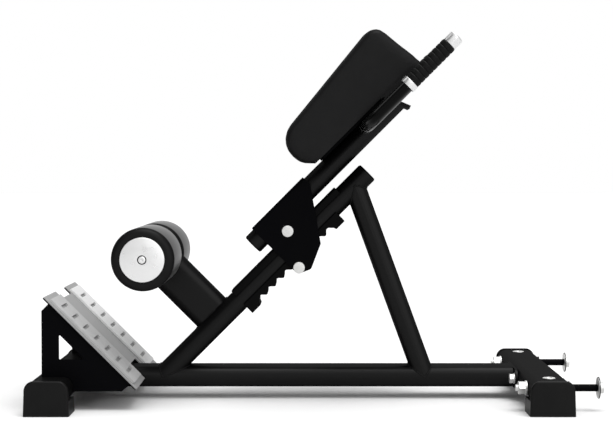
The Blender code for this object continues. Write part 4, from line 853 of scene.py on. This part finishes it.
def growMesh(name, tree, values, base=None):  # the plain mesh that a geometry tree gives for named values
    carrier = newObject(name + "Carrier", base or bpy.data.meshes.new(name + "Carrier"))
    grow = carrier.modifiers.new(name, "NODES")
    grow.node_group = tree
    for item in tree.interface.items_tree:
        if item.in_out == "INPUT" and item.name.lower() in values:
            grow[item.identifier] = values[item.name.lower()]
    data = shapedCopy(carrier)
    bpy.data.objects.remove(carrier)
    return data


sleeveTree = ribbedSleeveTree()
for sideName, side in sides:
    place = makeHandle(sideName, side)
    node = sideName + "_grip"
    low, high = boxIn(alongRail, node)
    data = growMesh(camelName(node), sleeveTree, {
        **grip, "length": high.x - low.x, "rows": grip["ribs"] * grip["rowsPerRib"] + 1,
        "material": finishes["gripRubber"]})
    data.transform(alongRail @ place @ Matrix.Translation((0, 0, low.x)))
    addPiece(node, data, finishes["gripRubber"])
print("handles made")


# Pads: vinyl over foam, blown up a little by cloth, flat against their boards
cushion = {
    "pocket": 0.001, "skirt": 0.012, "skirtBand": 0.0005, "voxel": 0.004, "smooth": 2, "smoothing": 0.5,
    "held": 0.004, "pressure": 4.0, "frames": 20, "rise": 0.0008, "sink": 0.0002, "faceDrop": 0.0013,
    "cutMargin": 0.03, "stepRadius": 0.0035, "sharp": 50.0}


def baseShape(node):  # height of the base, height of the heel past the plate, and where the heel starts
    base = boxIn(alongRail, node + "_board")[0].z
    points = pointsIn(alongRail, node)
    heel = min(point.z for point in points)
    step = min(point.x for point in points if point.z < (base + heel) / 2)
    return base, heel, step


def cushionStart(node, base, heel):  # the pad without its board's pocket, and with a skirt below its base
    mesh = mergedCopy(node)
    mesh.transform(alongRail.inverted())
    boardLow, boardHigh = boxIn(alongRail, node + "_board")
    edge = cushion["pocket"]
    inside = [vertex for vertex in mesh.verts if all(
        low - edge < value < high + edge for low, value, high in zip(boardLow, vertex.co, boardHigh))]
    bmesh.ops.delete(mesh, geom=inside, context="VERTS")
    for vertex in mesh.verts:
        if vertex.co.z < base + cushion["skirtBand"]:
            vertex.co.z = heel - cushion["skirt"]
    bmesh.ops.holes_fill(mesh, edges=[edge for edge in mesh.edges if edge.is_boundary])
    return meshFrom(camelName(node), mesh)


def baseCutter(node, base, heel, step):  # everything below the stepped base
    low, high = boxIn(alongRail, node)
    margin, radius = cushion["cutMargin"], cushion["stepRadius"]
    start, end = low.x - margin, high.x + margin
    outline = filletPath([
        (start, heel - margin, 0.0), (end, heel - margin, 0.0), (end, heel, 0.0), (step, heel, radius),
        (step, base, radius), (start, base, 0.0)])
    mesh = bmesh.new()
    addLoft(mesh, [(y, outline) for y in (low.y - margin, high.y + margin)])
    return newObject("baseCutter", meshFrom("baseCutter", mesh))


def inflate(pad, base):
    rest = [(vertex.co.copy(), vertex.normal.copy()) for vertex in pad.data.vertices]
    held = pad.vertex_groups.new(name="held")
    top = base + cushion["held"]
    held.add([index for index, (point, outward) in enumerate(rest) if point.z < top], 1.0, "REPLACE")
    cloth = pad.modifiers.new("vinyl", "CLOTH")
    cloth.settings.use_pressure = True
    cloth.settings.uniform_pressure_force = cushion["pressure"]
    cloth.settings.vertex_group_mass = "held"
    cloth.settings.effector_weights.gravity = 0.0
    cloth.point_cache.frame_start = 1
    cloth.point_cache.frame_end = cushion["frames"]
    for frameNumber in range(1, cushion["frames"] + 1):
        bpy.context.scene.frame_set(frameNumber)
    data = shapedCopy(pad)
    pad.vertex_groups.clear()
    for (point, outward), vertex in zip(rest, data.vertices):
        moved = vertex.co - point
        limit = cushion["rise"] if moved.dot(outward) > 0 else cushion["sink"]
        if moved.length > limit:
            vertex.co = point + moved.normalized() * limit
        vertex.co.z -= cushion["faceDrop"] * max(0.0, outward.z) ** 2
    bpy.context.scene.frame_set(1)


def makeCushion(sideName):
    node = sideName + "_pad"
    base, heel, step = baseShape(node)
    pad = newObject(camelName(node), cushionStart(node, base, heel))
    even = pad.modifiers.new("even", "REMESH")
    even.mode = "VOXEL"
    even.voxel_size = cushion["voxel"]
    ease = pad.modifiers.new("ease", "SMOOTH")
    ease.iterations = cushion["smooth"]
    ease.factor = cushion["smoothing"]
    shapedCopy(pad)
    inflate(pad, base)
    finer = pad.modifiers.new("finer", "SUBSURF")
    finer.levels = finer.render_levels = 1
    cutter = baseCutter(node, base, heel, step)
    trim = pad.modifiers.new("trim", "BOOLEAN")
    trim.object = cutter
    data = shapedCopy(pad)
    bpy.data.objects.remove(cutter)
    bpy.data.objects.remove(pad)
    piece = addPiece(node, data, finishes["padVinyl"], alongRail, cushion["sharp"])


for sideName, side in sides:
    makeCushion(sideName)
print("pads made")


# Weld beads where the tubes meet
weld = {
    "spacing": 0.0021, "length": 0.0046, "width": 0.0042, "height": 0.0042, "smallest": 0.88, "largest": 1.08,
    "seed": 3, "steps": 20, "merge": 0.00001, "strutLean": 20.1, "sharp": 80.0}


def ovalRise(tube, across):  # half the tube's depth at a distance from its middle plane
    over = max(0.0, abs(across) - (tube["half"] - tube["radius"]))
    return math.sqrt(max(0.0, tube["radius"] ** 2 - over ** 2))


def weldLine(branch, seat):  # where the branch's outer face meets the face of the tube it stands on
    flat = branch["half"] - branch["radius"]
    points = []
    for centre, first in ((flat, -90.0), (-flat, 90.0)):
        for step in range(weld["steps"] + 1):
            angle = math.radians(first + 180.0 * step / weld["steps"])
            across, off = centre + branch["radius"] * math.cos(angle), branch["radius"] * math.sin(angle)
            start = branch["origin"] + branch["off"] * off
            climb = ovalRise(seat, across) - (start - seat["origin"]).dot(seat["off"])
            point = start + branch["along"] * climb / branch["along"].dot(seat["off"])
            points.append(Vector((point.x, across, point.z)))
    mesh = bmesh.new()
    corners = [mesh.verts.new(point) for point in points]
    for first, second in zip(corners, corners[1:] + corners[:1]):
        mesh.edges.new((first, second))
    bmesh.ops.remove_doubles(mesh, verts=mesh.verts, dist=weld["merge"])
    return meshFrom("weldLine", mesh)


def tubeAxes(turn, node, alongAxis, offAxis, facing=1):
    low, high = boxIn(turn, node)
    middle = (low + high) / 2
    middle.y = 0.0
    along, off = Vector((0, 0, 0)), Vector((0, 0, 0))
    along[alongAxis], off[offAxis] = 1.0, facing
    return {
        "origin": turn @ middle, "along": turn.to_3x3() @ along, "off": turn.to_3x3() @ off,
        "radius": (high[offAxis] - low[offAxis]) / 2, "half": high.y}


def beadTree():
    tree, given, result = startGroup("beadsAlongPath", "GeometryNodeTree", {
        "Geometry": "Geometry", "Spacing": 0.002, "Length": 0.004, "Width": 0.004, "Height": 0.004,
        "Smallest": 0.88, "Largest": 1.08, "Seed": 3, "Material": "Material"}, {"Geometry": "Geometry"})
    line = addNode(tree, "GeometryNodeMeshToCurve", {0: given["Geometry"]})
    spots = addNode(tree, "GeometryNodeResampleCurve", {
        "Curve": line.outputs[0], "Length": given["Spacing"]}, mode="LENGTH")
    tangent = addNode(tree, "GeometryNodeInputTangent")
    turn = addNode(tree, "FunctionNodeAlignRotationToVector", {"Vector": tangent.outputs[0]}, axis="X")
    size = addNode(tree, "ShaderNodeCombineXYZ", {
        0: given["Length"], 1: given["Width"], 2: given["Height"]})
    vary = addNode(tree, "FunctionNodeRandomValue", {
        2: given["Smallest"], 3: given["Largest"], "Seed": given["Seed"]}, data_type="FLOAT")
    sized = addNode(
        tree, "ShaderNodeVectorMath", {0: size.outputs[0], "Scale": vary.outputs[1]}, operation="SCALE")
    bead = addNode(tree, "GeometryNodeMeshUVSphere", {"Segments": 10, "Rings": 6, "Radius": 0.5})
    beads = addNode(tree, "GeometryNodeInstanceOnPoints", {
        "Points": spots.outputs[0], "Instance": bead.outputs[0], "Rotation": turn.outputs[0],
        "Scale": sized.outputs[0]})
    return endTree(tree, given, result, beads.outputs[0])


def makeWelds():
    alongStrut = Matrix.Rotation(-math.radians(weld["strutLean"]), 4, "Y")  # z runs up the strut
    beam = tubeAxes(level, "main_beam", 0, 2)
    rail = tubeAxes(alongRail, "inclined_rail", 0, 2)
    railUnder = tubeAxes(alongRail, "inclined_rail", 0, 2, -1)
    strut = tubeAxes(alongStrut, "rear_strut", 2, 0)
    arm = tubeAxes(alongRail, "roller_arm", 2, 0)
    beam["half"] = rail["half"]  # the beam's own box is widened by its flange
    joints = {
        "railFootWeld": (rail, beam), "strutFootWeld": (strut, beam), "strutTopWeld": (strut, railUnder),
        "armWeld": (arm, rail)}
    tree = beadTree()
    for name, (branch, seat) in joints.items():
        data = growMesh(name, tree, {**weld, "material": finishes["tubeCoat"]}, weldLine(branch, seat))
        addPiece("main_beam", data, finishes["tubeCoat"], sharpAngle=weld["sharp"], name=name)


makeWelds()
print("welds made")


# Floor, light and camera: each pair of From and To is where a tone starts and where it is reached
studio = {
    "floorSize": 60.0, "floorFar": 0.55, "floorMirrored": 0.90,
    "horizonFill": 0.24, "topFill": 0.62, "topFillAt": 0.9,
    "frontSky": 0.76, "frontFrom": -0.2, "frontTo": -0.9,
    "rightTone": 0.55, "rightFrom": 0.3, "rightTo": 0.95,
    "overhead": 1.7, "overheadFrom": 0.70, "overheadTo": 0.97,
    "flagAim": (-1.0, 0.0, 0.55), "flagInner": 0.90, "flagOuter": 0.55, "flagTone": 0.06,
    "stripAim": (-0.65, 0.10, 0.75), "stripInner": 0.995, "stripOuter": 0.975, "stripTone": 1.2,
    "softboxAim": (0.05, -0.80, 0.60), "softboxInner": 0.97, "softboxOuter": 0.85, "softboxTone": 0.35}
lamps = {
    "topKey": {"kind": "SUN", "aim": (-0.15, 0.20, -1.0), "strength": 1.75, "spread": 45.0},
    "frontKey": {"kind": "SUN", "aim": (-0.55, 0.75, -0.35), "strength": 0.90, "spread": 60.0},
}
camera = {
    "place": (-0.0229, -3.7991, 0.5595), "pitch": 1.949, "lens": 90.98, "sensor": 36.0, "farthest": 200.0}


def grey(tone):
    return (tone, tone, tone, 1.0)


def rayKinds(tree):  # rays that reach the picture straight, and mirrored ones
    path = addNode(tree, "ShaderNodeLightPath").outputs
    seen = calculate(tree, "MAXIMUM", path["Is Camera Ray"], path["Is Transmission Ray"])
    return seen, path["Is Glossy Ray"]


def makeFloor():
    half = studio["floorSize"] / 2
    mesh = bpy.data.meshes.new("studioFloor")
    corners = [(-half, -half, 0), (half, -half, 0), (half, half, 0), (-half, half, 0)]
    mesh.from_pydata(corners, [], [(0, 1, 2, 3)])
    newObject("studioFloor", mesh)
    material = bpy.data.materials.new("floorPaper")
    material.use_nodes = True
    tree = material.node_tree
    shader = tree.nodes["Principled BSDF"]
    seen, glossy = rayKinds(tree)
    tone = mix(tree, "RGBA", seen, grey(studio["floorFar"]), grey(1.0))
    tone = mix(tree, "RGBA", glossy, tone, grey(studio["floorMirrored"]))
    tree.links.new(tone, shader.inputs["Base Color"])
    shader.inputs["Roughness"].default_value = 1.0
    shader.inputs["Specular IOR Level"].default_value = 0.0
    mesh.materials.append(material)


def makeWorld():  # white where seen, a dim fill for shading, and a studio with a dark flag for reflections
    world = bpy.data.worlds.new("studio")
    bpy.context.scene.world = world
    world.use_nodes = True
    tree = world.node_tree
    background = tree.nodes["Background"]
    background.inputs["Color"].default_value = grey(1.0)
    seen, glossy = rayKinds(tree)
    way = addNode(tree, "ShaderNodeTexCoord").outputs["Generated"]
    x, y, z = addNode(tree, "ShaderNodeSeparateXYZ", {0: way}).outputs

    def patch(name, outside, tone):  # a round patch of the sky
        aim = Vector(studio[name + "Aim"]).normalized()
        toward = addNode(tree, "ShaderNodeVectorMath", {0: way, 1: aim}, operation="DOT_PRODUCT")
        inner, outer = studio[name + "Inner"], studio[name + "Outer"]
        return ramp(tree, toward.outputs["Value"], outer, inner, outside, tone, "SMOOTHSTEP")

    front = ramp(tree, y, studio["frontTo"], studio["frontFrom"], studio["frontSky"], 1.0)
    right = ramp(tree, x, studio["rightFrom"], studio["rightTo"], 1.0, studio["rightTone"])
    ceiling = ramp(
        tree, z, studio["overheadFrom"], studio["overheadTo"], 1.0, studio["overhead"], "SMOOTHSTEP")
    lit = calculate(tree, "MULTIPLY", right, patch("flag", 1.0, studio["flagTone"]))
    lit = calculate(tree, "MULTIPLY", front, lit)
    lit = calculate(tree, "MULTIPLY", lit, ceiling)
    for name in ("strip", "softbox"):
        lit = calculate(tree, "ADD", lit, patch(name, 0.0, studio[name + "Tone"]))
    fill = ramp(tree, z, 0.0, studio["topFillAt"], studio["horizonFill"], studio["topFill"])
    unseen = mix(tree, "FLOAT", glossy, fill, lit)
    tree.links.new(mix(tree, "FLOAT", seen, unseen, 1.0), background.inputs["Strength"])


def makeLamps():
    for name, lamp in lamps.items():
        data = bpy.data.lights.new(name, lamp["kind"])
        data.energy = lamp["strength"]
        data.angle = math.radians(lamp["spread"])
        newObject(name, data).rotation_euler = Vector(lamp["aim"]).to_track_quat("-Z", "Y").to_euler()


def makeCamera():
    data = bpy.data.cameras.new("photoCamera")
    data.lens = camera["lens"]
    data.sensor_width = camera["sensor"]
    data.clip_end = camera["farthest"]
    view = newObject("photoCamera", data)
    view.location = camera["place"]
    view.rotation_euler = (math.radians(90.0 - camera["pitch"]), 0.0, 0.0)
    bpy.context.scene.camera = view


makeFloor()
makeWorld()
makeLamps()
makeCamera()
bpy.context.scene.view_settings.view_transform = "Standard"
print("studio set")
